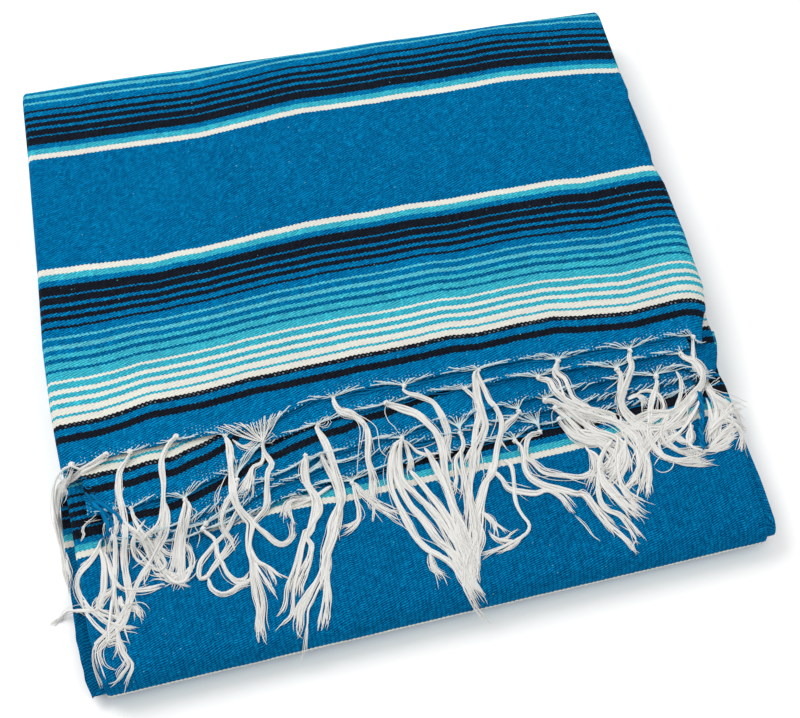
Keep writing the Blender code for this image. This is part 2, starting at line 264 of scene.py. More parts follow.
def top_pattern(x, y):
    """Distance across the cloth, in mm, from the plain band's near side, on the top sheet."""
    xw, yw = stack_xy_mm(x, y)
    far, near, dark = (np.interp(xw, t[:, 0], t[:, 1]) for t in (BAND_FAR, BAND_NEAR, WHITE_BLACK))
    inner = (near - yw) / (near - dark) * WHITE_BLACK_MM
    band = (near - yw) / (far - near) * BAND_MM
    v = np.where(yw < near, inner, band)
    v = np.where(yw < dark, WHITE_BLACK_MM + (dark - yw), v)
    return np.where(yw > far, -BAND_MM - (yw - far), v)


def lower_pattern(x, y):
    """The same on the lower sheet: negative on its plain band, which ends on the near fold."""
    xw, yw = stack_xy_mm(x, y)
    line = np.interp(xw, LOWER_WHITE[:, 0], LOWER_WHITE[:, 1])
    _, fold = stack_xy_mm(x, np.full(np.shape(x), NEAR))
    reach = line - fold + math.radians(84) * BUNDLE * 1000
    return np.where(yw > line, yw - line, (yw - line) * BAND_MM / reach)


# ---------------------------------------------------------------- meshes
def quad_mesh(name, points, quads, uv=None, values=None, materials=(), index=None):
    """An object from arrays of points and quads, with UVs in metres and named values on the points."""
    mesh = bpy.data.meshes.new(name)
    points = np.asarray(points, np.float32).reshape(-1, 3)
    quads = np.asarray(quads, np.int32).reshape(-1, 4)
    mesh.vertices.add(len(points))
    mesh.vertices.foreach_set("co", points.ravel())
    mesh.loops.add(quads.size)
    mesh.loops.foreach_set("vertex_index", quads.ravel())
    mesh.polygons.add(len(quads))
    mesh.polygons.foreach_set("loop_start", np.arange(0, quads.size, 4, dtype=np.int32))
    if index is not None:
        mesh.polygons.foreach_set("material_index", np.asarray(index, np.int32))
    mesh.update(calc_edges=True)
    if uv is not None:
        layer = mesh.uv_layers.new(name="cloth")
        layer.data.foreach_set("uv", np.asarray(uv, np.float32).reshape(-1, 2)[quads.ravel()].ravel())
    for key, data in (values or {}).items():
        mesh.attributes.new(key, "FLOAT", "POINT").data.foreach_set("value", np.asarray(data, np.float32).ravel())
    mesh.shade_smooth()
    for m in materials:
        mesh.materials.append(m)
    obj = bpy.data.objects.new(name, mesh)
    bpy.context.scene.collection.objects.link(obj)
    return obj


def grid_quads(rows, columns, closed=False, start=0):
    """Quads of a grid of points, row by row. A closed grid joins its last column to its first."""
    r = np.arange(rows - 1)[:, None]
    c = np.arange(columns if closed else columns - 1)[None, :]
    n = (c + 1) % columns
    a, b = r * columns + c, r * columns + n
    return np.stack([a, b, b + columns, a + columns], -1).reshape(-1, 4) + start


def side_arcs(flat_columns, arc_columns, left, right, tail=0.0010):
    """Across a sheet: x and drop, with each side rounding over. left and right are (rows, 3) in mm: inset, width, height."""
    turn = np.linspace(1, 0, arc_columns + 1)[None, :] * (math.pi / 2)
    left, right = left / 1000, right / 1000

    def arc(sizes, sign):
        inset, wide, high = (sizes[:, i : i + 1] for i in range(3))
        x = HALF_WIDTH - inset - wide + wide * np.sin(turn)
        drop = high * (1 - np.cos(turn))
        down = np.minimum(tail, 0.35 * high)
        x = np.concatenate([x[:, :1] - down * 0.35, x], 1)
        drop = np.concatenate([drop[:, :1] + down, drop], 1)
        return sign * x, drop

    lx, ld = arc(left, -1)
    rx, rd = arc(right, 1)
    share = np.linspace(0, 1, flat_columns + 2)[None, 1:-1]
    flat = lx[:, -1:] * (1 - share) + rx[:, -1:] * share
    x = np.concatenate([lx, flat, rx[:, ::-1]], 1)
    drop = np.concatenate([ld, np.zeros_like(flat), rd[:, ::-1]], 1)
    step = np.hypot(np.diff(x, axis=1), np.diff(drop, axis=1))
    along = np.concatenate([np.zeros((len(x), 1)), np.cumsum(step, 1)], 1)
    middle = along.shape[1] // 2
    zero = along[:, middle : middle + 1] - x[:, middle : middle + 1]
    return x, drop, along - zero


def sizes_at(table, y):
    return np.stack([at(table, y, k) for k in (1, 2, 3)], 1)


def end_line(number, x):
    return np.interp(x, ENDS[:, 0], ENDS[:, number])


EDGE_WAVE = {k: waves(40 + k, (13, 21, 34, 61), (0.18, 0.30, 0.35, 0.45)) for k in (1, 2, 3, 4, 5)}


def end_edge(number, x):
    """The fringed edge of an end, with the small unevenness that the knots pull into it."""
    edge = end_line(number, x) + EDGE_WAVE[number](x, 0.0) * 0.9
    if number == 3:
        # Its right corner lies further out than the rest.
        corner = np.clip((x - 0.158) / 0.024, 0, 1)
        edge = edge - 0.0105 * corner * corner * (3 - 2 * corner)
    if number == 1:
        # Its right corner hangs down as a narrow tongue.
        corner = np.clip((x - 0.1705) / 0.0045, 0, 1)
        edge = edge - 0.0085 * corner * corner * (3 - 2 * corner)
    return edge


def end_top(number):
    wall = (BUNDLE - 0.0020 - 0.0003 - 4 * 0.0003) / 4
    return 3 * BUNDLE - 0.0020 - 0.0003 - (number - 2) * (wall + 0.0003)


FLAT_COLUMNS, ARC_COLUMNS = 180, 10


def top_sheet():
    """The top layer: from its fringed end over the top, round the far fold and a little under it."""
    straight = np.arange(-0.034, FAR, 0.0020)
    turns = np.linspace(0, math.pi, 19)
    under = np.linspace(FAR - 0.002, UNDER_FAR_FOLD, 5)
    front = np.linspace(0, 1, 24)[:-1]
    rows_front = len(front) + 2
    y_side = np.concatenate([np.full(2, -0.066), -0.066 * (1 - front) + straight[0] * front, straight, np.full(len(turns) + len(under), FAR)])
    x, drop, along = side_arcs(FLAT_COLUMNS, ARC_COLUMNS, sizes_at(TOP_LEFT_MM, y_side), sizes_at(TOP_RIGHT_MM, y_side))
    rows, columns = x.shape
    y, z, ny, nz = (np.zeros((rows, columns)) for _ in range(4))
    travel = np.zeros((rows, columns))
    # In front, the rows run from the fringed edge back to the first straight row, and the rim turns down.
    edge = end_edge(1, x[:rows_front])
    share = np.concatenate([[0, 0], front])[:, None]
    y[:rows_front] = edge * (1 - share) + straight[0] * share
    rim = np.zeros((rows, columns))
    y[0] += 0.0003
    y[1] -= 0.0002
    rim[0], rim[1] = 0.0014, 0.0006
    y[2] += 0.0001
    k = rows_front
    y[k : k + len(straight)] = straight[:, None]
    z[: k + len(straight)] = Z_TOP
    nz[: k + len(straight)] = 1
    travel[: k + len(straight)] = y[: k + len(straight)]
    k += len(straight)
    y[k : k + len(turns)] = FAR
    z[k : k + len(turns)] = Z_FAR
    ny[k : k + len(turns)] = np.sin(turns)[:, None]
    nz[k : k + len(turns)] = np.cos(turns)[:, None]
    travel[k : k + len(turns)] = FAR + (turns * BUNDLE)[:, None]
    # The round runs about the fold's centre line, half a bundle above the middle third.
    fold = slice(k, k + len(turns))
    k += len(turns)
    y[k:] = under[:, None]
    z[k:] = Z_MID
    nz[k:] = -1
    travel[k:] = (FAR + math.pi * BUNDLE + (FAR - under))[:, None]
    w = HALF - drop - rim
    w[fold] += HALF
    points = np.stack([x, y + ny * w, z + nz * w], -1)
    v = top_pattern(x, np.minimum(travel, FAR)) - np.maximum(travel - FAR, 0) * 1000
    v[0] = v[1] = v[2] + 1.0
    edge_mm = (travel - end_edge(1, x)) * 1000
    return points, along, v, edge_mm


def build_cloth(name, made, look):
    points, along, v, edge_mm = made
    rows, columns = points.shape[:2]
    uv = np.stack([along, v / 1000], -1)
    return quad_mesh(name, place(points), grid_quads(rows, columns), uv, {"edge": edge_mm}, (look,))


def lower_sheet():
    """The plain band below the fringe: out from under the ends, round the near fold and under it."""
    straight = np.arange(LOWER_SHEET_START, NEAR, -0.0020)
    turns = np.linspace(0, math.pi, 19)
    under = np.linspace(NEAR + 0.002, UNDER_NEAR_FOLD, 8)
    y_side = np.concatenate([straight, np.full(len(turns) + len(under), -0.19)])
    x, drop, along = side_arcs(FLAT_COLUMNS, ARC_COLUMNS, sizes_at(LOWER_LEFT_MM, y_side), sizes_at(LOWER_RIGHT_MM, y_side))
    rows, columns = x.shape
    y, z, ny, nz, travel = (np.zeros((rows, columns)) for _ in range(5))
    k = len(straight)
    y[:k], z[:k], nz[:k] = straight[:, None], Z_MID, -1
    travel[:k] = straight[:, None]
    fold = slice(k, k + len(turns))
    y[fold], z[fold] = NEAR, Z_NEAR
    ny[fold], nz[fold] = np.sin(turns)[:, None], -np.cos(turns)[:, None]
    travel[fold] = NEAR - (turns * BUNDLE)[:, None]
    k += len(turns)
    y[k:], z[k:], nz[k:] = under[:, None], Z_LOW, 1
    travel[k:] = (NEAR - math.pi * BUNDLE - (under - NEAR))[:, None]
    w = -(HALF - drop)
    w[fold] -= HALF
    points = np.stack([x, y + ny * w, z + nz * w], -1)
    v = lower_pattern(x, np.maximum(travel, NEAR)) - np.maximum(NEAR - travel, 0) * 1000 * 0.97
    return points, -along, v, np.full(v.shape, 200.0)


def end_layer(number):
    """A fringed end under the top one: its top, its rounded sides and its turned-down front."""
    left, right = END_SIDES[number]
    top = end_top(number)
    front = np.linspace(0, 1, 30)
    round_mm = 1.4
    turn = np.linspace(math.pi / 2, 0, 5)
    side = np.stack([np.sin(turn), 1 - np.cos(turn)], 1) * round_mm / 1000
    flat = np.linspace(-left + round_mm / 1000, right - round_mm / 1000, 172)
    x = np.concatenate([-left + round_mm / 1000 - side[:, 0], flat[1:-1], right - round_mm / 1000 + side[::-1, 0]])
    drop = np.concatenate([side[:, 1], np.zeros(len(flat) - 2), side[::-1, 1]])
    share = np.concatenate([[0, 0], front])[:, None]
    edge = end_edge(number, x)[None, :]
    back = np.where(x > 0.172, -0.0480, -0.0445)[None, :]
    y = edge * (1 - share) + back * share
    rim = np.zeros(y.shape)
    y[0] += 0.0003
    y[1] -= 0.0002
    rim[0], rim[1] = 0.0014, 0.0006
    z = top - drop[None, :] - rim
    # On the right the ends lap over the stack's side: the edge curves, and hangs a little.
    wide = np.broadcast_to(x, y.shape).copy()
    if right > 0.18:
        outer = np.clip((wide - 0.165) / (right - 0.165), 0, 1)
        reach = np.interp(y, (-0.0975, -0.0930, -0.0880, -0.0800, -0.0700, -0.0640, -0.0580, -0.0450), (0.1760, 0.1810, 0.1836, 0.1858, 0.1864, 0.1864, 0.1857, 0.1850))
        reach = reach - (0.0060 if number > 3 else 0.0)
        wide = np.where(wide > 0.165, 0.165 + outer * (reach - 0.165), wide)
        hang = np.interp(y, (-0.0980, -0.0850, -0.0700, -0.0560), (0.0044, 0.0036, 0.0024, 0.0012))
        z = z - hang * outer**2.2
    points = np.stack([wide, y, z], -1)
    xw, _ = stack_xy_mm(np.broadcast_to(x, y.shape), y)
    length = np.interp(xw, END_LENGTH_MM[number][:, 0], END_LENGTH_MM[number][:, 1])
    edge_mm = (y - edge) * 1000
    v = length - edge_mm
    along = np.broadcast_to(x, y.shape) + 0.0007 * number
    return points, along, v, edge_mm


def side_strip():
    """The selvedge of a lower layer along the lower left: its top and its rounded outer edge."""
    y = np.linspace(STRIP[0, 0], STRIP[-1, 0], 70)
    outer, inner = at(STRIP, y, 1), at(STRIP, y, 2) - 0.0015
    outer = outer + waves(61, (9, 17, 38), (0.12, 0.18, 0.25))(y, 0.0)
    share = np.linspace(0, 1, 12)[None, :]
    x = -(inner[:, None] * (1 - share) + (outer[:, None] - 0.0007) * share)
    z = np.full(x.shape, STRIP_HEIGHT + 0.0009) + 0.0004 * np.sin(share * math.pi)
    turn = np.linspace(0.25, 1, 5)[None, :] * math.pi
    edge_x = -(outer[:, None] - 0.0007 + 0.0007 * np.sin(turn))
    edge_z = STRIP_HEIGHT + 0.0009 * np.cos(turn) + np.zeros(edge_x.shape)
    x, z = np.concatenate([x, edge_x], 1), np.concatenate([z, edge_z], 1)
    points = np.stack([x, np.broadcast_to(y[:, None], x.shape), z], -1)
    # Its stripes are those of the sheet above, a little off; its white one lies at STRIP_WHITE.
    _, yw = stack_xy_mm(x, points[..., 1])
    v = (yw - STRIP_WHITE) * np.where(yw > STRIP_WHITE, 1.0, 0.88)
    return points, -x, v, np.full(x.shape, 200.0)


# ---------------------------------------------------------------- the hidden leaves
LEAF_HALF = 0.00100
# Where each leaf's middle goes as the stack closes up towards the fringed ends.
LEAF_CLOSES_TO = {0.0042: 0.0043, 0.0014: 0.0000, -0.0014: -0.0043, -0.0042: -0.0042}


def arc_share(drop, height):
    """How far out a rounded side of that height is, from 0 at its top to 1, at a depth below the top."""
    return np.where(drop >= height, 1.0, np.sqrt(np.clip(1 - (1 - drop / np.maximum(height, 1e-6)) ** 2, 0, 1)))


def leaf_side(table, y, depth_mm, reach):
    """How far a leaf at that depth may reach to a side that a sheet rounds over."""
    inset, wide, high = (at(table, y, k) for k in (1, 2, 3))
    under = HALF_WIDTH * 1000 - inset - wide * (1 - arc_share(depth_mm, high)) - 0.55
    # Its upper face has to clear the round as well.
    upper = HALF_WIDTH * 1000 - inset - wide * (1 - arc_share(np.maximum(depth_mm - 1.15, 0), high)) + 0.6
    under = np.minimum(under, upper)
    free = np.clip((depth_mm - high - 0.2) / 1.2, 0, 1)
    return (under * (1 - free) + reach * 1000 * free) / 1000


def leaf_route(w):
    """Stations of a leaf from the fringed end to the bottom third's own fold: the stretch it is on, the line
    that it runs about, the way the blanket's upper face looks there, and how far off that line it is."""
    stations = []
    step = 0.0060
    for y in np.arange(-0.014 if w < -0.004 else -0.043, FAR, step):
        close = np.clip((-0.012 - y) / 0.031, 0, 1)
        close = close * close * (3 - 2 * close)
        stations.append(("top", y, Z_TOP, 0.0, 1.0, w * (1 - close) + LEAF_CLOSES_TO[w] * close))
    for a in np.linspace(0, math.pi, 15):
        stations.append(("far", FAR, Z_FAR, math.sin(a), math.cos(a), HALF + w))
    for y in np.arange(FAR - step, NEAR, -step):
        stations.append(("middle", y, Z_MID, 0.0, -1.0, w))
    for a in np.linspace(0, math.pi, 15):
        stations.append(("near", NEAR, Z_NEAR, math.sin(a), -math.cos(a), w - HALF))
    for y in np.arange(NEAR + step, BOTTOM_END, step):
        stations.append(("bottom", y, Z_LOW, 0.0, 1.0, w))
    return stations


def leaf_pattern(kinds, y0, cz, radius, arc):
    """The stripes that a leaf's sides show, in mm: every leaf carries those of the sheet that covers it."""
    y = y0 * 1000
    turned = np.clip((np.where(kinds == "far", Z_FAR, Z_NEAR) + radius - cz) / (2 * radius), 0, 1)
    v = np.where(kinds == "top", 60 - y, 0.0)
    v = np.where(kinds == "far", -126.3 - turned * 17.7, v)
    middle = np.where(y > -118, -144 - (186.3 - y) / 304.3 * 388, -532 - (-118 - y))
    v = np.where(kinds == "middle", middle, v)
    v = np.where(kinds == "near", -600.3 - turned * 17.6, v)
    v = np.where((kinds == "bottom") | (kinds == "turn"), -617.9 - (y + 186.3), v)
    return np.where(kinds == "turn", v - arc * 1000, v)


def hidden_leaf(name, w, seed, look):
    """One closed flat tube: a leaf of the stack, out along it, round its own fold in the bottom third and back."""
    rng = np.random.default_rng(seed)
    out = [(*s, 1.0) for s in leaf_route(w)]
    turn = [("turn", BOTTOM_END, Z_LOW, math.sin(a), math.cos(a), w, 1.0) for a in np.linspace(0, math.pi, 10)[1:-1]]
    home = [(*s, -1.0) for s in leaf_route(-w)[::-1]]
    stations = out + turn + home
    kinds = np.array([s[0] for s in stations])
    y0, z0, ny, nz, ww, way = (np.array([s[k] for s in stations]) for k in range(1, 7))
    cy, cz = y0 + ny * ww, z0 + nz * ww
    ny, nz = ny * way, nz * way
    travel = np.concatenate([[0], np.cumsum(np.hypot(np.diff(cy), np.diff(cz)))])
    # How deep each station lies below the sheet that rounds over its side, in mm.
    over = (kinds == "top") | (kinds == "far")
    lower = (kinds == "near") | ((kinds == "middle") & (y0 < -0.055))
    own = np.where(kinds == "far", ww - HALF, np.where(kinds == "near", ww + HALF, ww))
    depth = np.where(over, HALF - own, np.where(lower, HALF + own, 0.03)) * 1000
    sides = {}
    for key in ("left", "right"):
        reach = 0.1886 + 0.0007 * np.interp(travel, np.linspace(0, travel[-1], 60), rng.uniform(-1, 1, 60))
        if key == "right":
            # The lower leaves slide out a little towards the front corner.
            slid = np.interp(-y0, (0.140, 0.165, 0.186), (0.0, 0.0010, 0.0012))
            reach = reach + slid * ((kinds != "top") & (kinds != "far"))
        x = reach.copy()
        table = TOP_LEFT_MM if key == "left" else TOP_RIGHT_MM
        x = np.where(over, np.minimum(x, leaf_side(table, y0, depth, reach)), x)
        table = LOWER_LEFT_MM if key == "left" else LOWER_RIGHT_MM
        x = np.where(lower, np.minimum(x, leaf_side(table, np.maximum(y0, -0.19), depth, reach)), x)
        if key == "right":
            # The stack is drawn in a little where the fringed ends stop.
            x = x - 0.0034 * np.exp(-(((y0 + 0.088) / 0.011) ** 2)) * (kinds != "top")
            x = x - 0.0030 * np.exp(-(((y0 + 0.050) / 0.012) ** 2)) * (kinds != "top")
        sides[key] = x
    # Keep the sides from stepping where one sheet's cover ends.
    for key, x in sides.items():
        soft = np.convolve(np.pad(x, 1, "edge"), (0.25, 0.5, 0.25), "valid")
        sides[key] = np.minimum(x + 0.0002, soft)
    turn = np.linspace(math.pi / 2, -math.pi / 2, 7)
    bulge = LEAF_HALF * 1.1
    middle, half = (sides["right"] - sides["left"]) / 2, (sides["right"] + sides["left"]) / 2 - bulge
    flat = np.linspace(-1, 1, 32)[1:-1]
    x = [middle + half + bulge * math.cos(a) for a in turn] + [middle + f * half for f in flat[::-1]]
    x += [middle - half - bulge * math.cos(a) for a in turn[::-1]] + [middle + f * half for f in flat]
    h = [LEAF_HALF * math.sin(a) for a in turn] + [-LEAF_HALF] * len(flat)
    h += [LEAF_HALF * math.sin(a) for a in turn[::-1]] + [LEAF_HALF] * len(flat)
    x, h = np.stack(x, 1), np.broadcast_to(np.array(h)[None, :], (len(stations), len(h)))
    # The tube's two ends lie under the fringed ends and the top sheet.
    points = np.stack([x, cy[:, None] + ny[:, None] * h, cz[:, None] + nz[:, None] * h], -1)
    rows, columns = x.shape
    v = np.broadcast_to(leaf_pattern(kinds, y0, cz, np.abs(ww) + 1e-5, np.abs(ww) * np.arctan2(np.abs(ny), np.abs(nz)))[:, None], x.shape)
    uv = np.stack([x + np.where(h < 0, 0.0011, 0.0), v / 1000], -1)
    quads = [grid_quads(rows, columns, closed=True)]
    # Each end is closed by quads between its upper and lower faces.
    top_run = [0] + list(range(columns - 1, columns - 1 - len(flat), -1)) + [7 + len(flat) + 6]
    low_run = [6] + list(range(7, 7 + len(flat))) + [7 + len(flat)]
    for row, flip in ((0, False), (rows - 1, True)):
        for i in range(len(top_run) - 1):
            quad = [top_run[i], low_run[i], low_run[i + 1], top_run[i + 1]]
            quads.append(np.array([quad[::-1] if flip else quad]) + row * columns)
        for run in (list(range(0, 7)), list(range(7 + len(flat), 14 + len(flat)))):
            fans = [(run[0], run[1], run[2], run[6]), (run[2], run[3], run[5], run[6])]
            fans.append((run[3], run[4], run[5], run[5]))
            for fan in fans[:2]:
                quads.append(np.array([fan[::-1] if flip else fan]) + row * columns)
    return quad_mesh(name, place(points), np.concatenate(quads), uv, {"edge": np.full(x.size, 200.0)}, (look,))


# ---------------------------------------------------------------- materials
def srgb(r, g, b):
    """A colour given as 0 to 255, as the linear value that Blender's sockets take."""

    def linear(c):
        c /= 255
        return c / 12.92 if c <= 0.04045 else ((c + 0.055) / 1.055) ** 2.4

    return (linear(r), linear(g), linear(b), 1.0)


COLOURS = {
    "W": srgb(231, 230, 219),
    "T": srgb(58, 176, 199),
    "L": srgb(84, 183, 202),
    "B": srgb(0, 110, 166),
    "P": srgb(0, 104, 159),
    "D": srgb(4, 96, 148),
    "K": srgb(24, 25, 34),
}
# Each stripe of the pattern: where it starts, in mm past the plain band, and its colour.
STRIPES = (
    (-60.0, "P"), (0.0, "W"), (3.92, "T"), (8.0, "B"), (11.7, "K"), (17.8, "B"), (18.74, "K"), (23.42, "B"),
    (25.49, "K"), (29.05, "B"), (31.02, "K"), (34.19, "B"), (37.51, "K"), (39.25, "B"), (44.26, "L"), (45.76, "B"),
    (49.67, "L"), (52.42, "B"), (55.38, "T"), (57.78, "D"), (60.41, "T"), (64.46, "D"), (66.11, "T"), (71.50, "W"),
    (73.02, "T"), (77.02, "W"), (79.73, "T"), (82.56, "W"), (85.27, "T"), (88.08, "W"), (92.08, "T"), (93.70, "W"),
    (97.52, "K"), (100.77, "B"), (104.74, "K"), (109.36, "B"),
)


class Shader:
    """A node material, with short calls for the nodes that it is made of."""

    def __init__(self, name):
        self.material = bpy.data.materials.new(name)
        self.material.use_nodes = True
        self.tree = self.material.node_tree
        self.tree.nodes.clear()

    def node(self, kind, inputs=None, **settings):
        made = self.tree.nodes.new(kind)
        for key, value in settings.items():
            setattr(made, key, value)
        for key, value in (inputs or {}).items():
            self.feed(made.inputs[key], value)
        return made

    def feed(self, socket, value):
        if isinstance(value, bpy.types.NodeSocket):
            self.tree.links.new(value, socket)
        else:
            socket.default_value = value

    def math(self, operation, a, b=0.0, c=0.0, clamp=False):
        made = self.node("ShaderNodeMath", operation=operation, use_clamp=clamp)
        for socket, value in zip(made.inputs, (a, b, c)):
            self.feed(socket, value)
        return made.outputs[0]

    def add(self, *terms):
        total = terms[0]
        for term in terms[1:]:
            total = self.math("ADD", total, term)
        return total

    def times(self, *terms):
        total = terms[0]
        for term in terms[1:]:
            total = self.math("MULTIPLY", total, term)
        return total

    def ramp01(self, value, start, end, to_min=0.0, to_max=1.0, smooth=True):
        made = self.node("ShaderNodeMapRange", interpolation_type="SMOOTHSTEP" if smooth else "LINEAR")
        for key, v in (("Value", value), ("From Min", start), ("From Max", end), ("To Min", to_min), ("To Max", to_max)):
            self.feed(made.inputs[key], v)
        return made.outputs["Result"]

    def noise(self, vector, scale, detail=2.0, rough=0.5):
        return self.node("ShaderNodeTexNoise", {"Vector": vector, "Scale": scale, "Detail": detail, "Roughness": rough}, noise_dimensions="3D").outputs["Fac"]

    def vector(self, x, y, z=0.0):
        return self.node("ShaderNodeCombineXYZ", {"X": x, "Y": y, "Z": z}).outputs[0]

    def white(self, vector):
        return self.node("ShaderNodeTexWhiteNoise", {"Vector": vector}, noise_dimensions="3D").outputs["Value"]

    def mix(self, factor, a, b, blend="MIX"):
        made = self.node("ShaderNodeMix", data_type="RGBA", blend_type=blend)
        self.feed(made.inputs["Factor"], factor)
        sockets = [s for s in made.inputs if s.type == "RGBA"]
        self.feed(sockets[0], a)
        self.feed(sockets[1], b)
        return [s for s in made.outputs if s.type == "RGBA"][0]

    def surface(self, colour, roughness, normal, sheen=0.3, sheen_rough=0.5, sheen_tint=(1, 1, 1), gloss=0.05, through=0.0):
        shader = self.node("ShaderNodeBsdfPrincipled", {"Base Color": colour, "Roughness": roughness, "Normal": normal})
        shader.inputs["Sheen Weight"].default_value = sheen
        shader.inputs["Sheen Roughness"].default_value = sheen_rough
        shader.inputs["Sheen Tint"].default_value = (*sheen_tint, 1)
        shader.inputs["Specular IOR Level"].default_value = gloss
        shader.inputs["IOR"].default_value = 1.45
        out = self.node("ShaderNodeOutputMaterial")
        if through:
            # Loose cotton lets some light pass.
            passing = self.node("ShaderNodeBsdfTranslucent", {"Color": colour, "Normal": normal})
            both = self.node("ShaderNodeMixShader", {"Fac": through})
            self.tree.links.new(shader.outputs[0], both.inputs[1])
            self.tree.links.new(passing.outputs[0], both.inputs[2])
            shader = both
        self.tree.links.new(shader.outputs[0], out.inputs[0])
        return self.material


def stripe_colour(s, position, low, high):
    """The colour bands between two positions, as one hard-edged ramp."""
    part = [(start, colour) for start, colour in STRIPES if low < start < high]
    first = [colour for start, colour in STRIPES if start <= low][-1] if low > -60 else "P"
    ramp = s.node("ShaderNodeValToRGB", {"Fac": s.ramp01(position, low, high, smooth=False)})
    ramp.color_ramp.interpolation = "CONSTANT"
    stops = ramp.color_ramp.elements
    stops[0].position, stops[0].color = 0.0, COLOURS[first]
    while len(stops) > 1:
        stops.remove(stops[-1])
    for start, colour in part:
        stop = stops.new((start - low) / (high - low))
        stop.color = COLOURS[colour]
    return ramp.outputs["Color"]


def cloth_material(name, repeating=False, tone=1.0, fleck=1.0, pitch=1.64, slant=0.61, contrast=1.0, mesh=(0.34, 0.06, 0.34, 0.26), dim=0.0):
    """The serape's weft-faced weave: slanted ridges of blue weft over hidden warps, in stripes."""
    s = Shader(name)
    uv = s.node("ShaderNodeUVMap", uv_map="cloth").outputs[0]
    split = s.node("ShaderNodeSeparateXYZ", {"Vector": uv})
    u = s.times(split.outputs[0], 1000.0)
    v = s.times(split.outputs[1], 1000.0)
    flat = s.vector(u, v)
    # The weave wanders a little, and each warp column beats up its weft its own way.
    drift = s.add(s.noise(flat, 0.035, 2.0), -0.5)
    wobble = s.add(s.noise(s.vector(u, s.times(v, 0.35), 7.0), 0.16, 2.0), -0.5)
    uu = s.add(u, s.times(drift, 2.2))
    vv = s.add(v, s.times(wobble, 0.9))
    column = s.times(uu, 1 / 2.42)
    across = s.math("FRACT", column)
    number = s.math("FLOOR", column)
    own = s.white(s.vector(number, 3.0))
    rows = s.add(s.times(vv, 1 / pitch), s.times(column, slant), s.times(own, 0.22), s.times(wobble, 1.4))
    row = s.math("FRACT", rows)
    row_number = s.math("FLOOR", rows)
    ridge = s.math("SINE", s.times(row, math.pi))
    ridge = s.math("POWER", s.math("MAXIMUM", ridge, 0.0), 0.55)
    bead = s.math("SINE", s.times(across, math.pi))
    bead = s.math("POWER", s.math("MAXIMUM", bead, 0.0), 0.45)
    # A weaker slant the other way breaks the ridges into dashes.
    against = s.math("SINE", s.times(s.math("FRACT", s.add(s.times(vv, 1 / (pitch * 0.92)), s.times(column, -slant * 2.26))), math.pi))
    against = s.math("POWER", s.math("MAXIMUM", against, 0.0), 0.6)
    height = s.add(s.times(ridge, s.add(mesh[0], s.times(bead, mesh[1]))), s.times(against, s.add(mesh[2], s.times(ridge, mesh[3]))))
    # Two fine yarns show in each ridge.
    ply = s.math("SINE", s.times(s.add(rows, s.times(column, 0.8)), math.tau * 2))
    height = s.add(height, s.times(ply, 0.05))
    # Stripe edges step along the columns.
    scallop = s.times(s.math("SINE", s.times(s.add(column, s.times(v, 0.09)), math.tau)), 0.27)
    rough_edge = s.times(s.add(s.white(s.vector(number, s.math("FLOOR", s.times(vv, 0.12)), 5.0)), -0.5), 0.28)
    sway = s.times(s.add(s.noise(s.vector(s.times(u, 1.0), s.times(v, 0.10), 3.0), 0.045, 1.0), -0.5), 1.5)
    centre = s.add(v, 41.0)
    if repeating:
        w = s.add(s.math("PINGPONG", centre, 133.0), -41.0)
    else:
        w = s.add(s.math("ABSOLUTE", centre), -41.0)
    w = s.add(w, scallop, rough_edge, sway)
    near = stripe_colour(s, w, -5.0, 50.2)
    beyond = stripe_colour(s, w, 49.8, 134.0)
    colour = s.mix(s.math("GREATER_THAN", w, 50.0), near, beyond)
    # Black next to the fringe is worn through with light specks.
    speck = s.white(s.vector(number, 11.0))
    off_line = s.math("ABSOLUTE", s.add(w, s.times(speck, -0.9), -98.9))
    off_column = s.math("ABSOLUTE", s.add(across, -0.5))
    worn = s.times(s.math("LESS_THAN", off_line, 0.42), s.math("LESS_THAN", off_column, 0.19), s.math("GREATER_THAN", s.white(s.vector(number, 13.0)), 0.22))
    colour = s.mix(s.times(worn, s.add(0.18, s.times(speck, 0.42))), colour, srgb(150, 168, 180))
    # Single fibres of another colour caught in the weft.
    cells = s.node("ShaderNodeTexVoronoi", {"Vector": flat, "Scale": 0.15, "Randomness": 1.0}, feature="F1", voronoi_dimensions="3D", distance="EUCLIDEAN")
    pick = s.node("ShaderNodeSeparateColor", {"Color": cells.outputs["Color"]})
    small = s.math("LESS_THAN", cells.outputs["Distance"], 0.058)
    # A fleck lies along the weft.
    flecks = s.times(small, s.math("GREATER_THAN", pick.outputs[0], 0.30), 0.6 * fleck)
    colour = s.mix(flecks, colour, s.mix(pick.outputs[1], srgb(60, 184, 205), srgb(150, 206, 214)))
    # Where the cloth ends its warps show as rows of small light dots between the weft.
    edge = s.node("ShaderNodeAttribute", attribute_name="edge", attribute_type="GEOMETRY").outputs["Fac"]
    edge = s.add(edge, s.times(s.add(own, -0.5), 1.6))
    dot_column = s.times(uu, 1 / 2.0)
    dot_number = s.math("FLOOR", dot_column)
    dot_row = s.add(s.times(edge, 1 / 2.2), s.times(s.math("FLOORED_MODULO", dot_number, 2.0), 0.5))
    dot_v = s.math("ABSOLUTE", s.add(s.math("FRACT", dot_row), -0.5))
    dot_u = s.math("ABSOLUTE", s.add(s.math("FRACT", dot_column), -0.5))
    dot_own = s.white(s.vector(dot_number, s.math("FLOOR", dot_row), 17.0))
    reach = s.add(4.0, s.times(s.white(s.vector(s.math("FLOOR", s.times(uu, 0.05)), 23.0)), 9.0))
    left = s.ramp01(edge, 1.0, reach, 1.0, 0.0)
    size = s.times(left, 0.20)
    dots = s.times(s.math("LESS_THAN", dot_v, size), s.math("LESS_THAN", dot_u, s.times(size, 0.8)), s.math("GREATER_THAN", dot_own, 0.22))
    colour = s.mix(s.times(dots, s.add(0.40, s.times(left, 0.5))), colour, srgb(172, 214, 226))
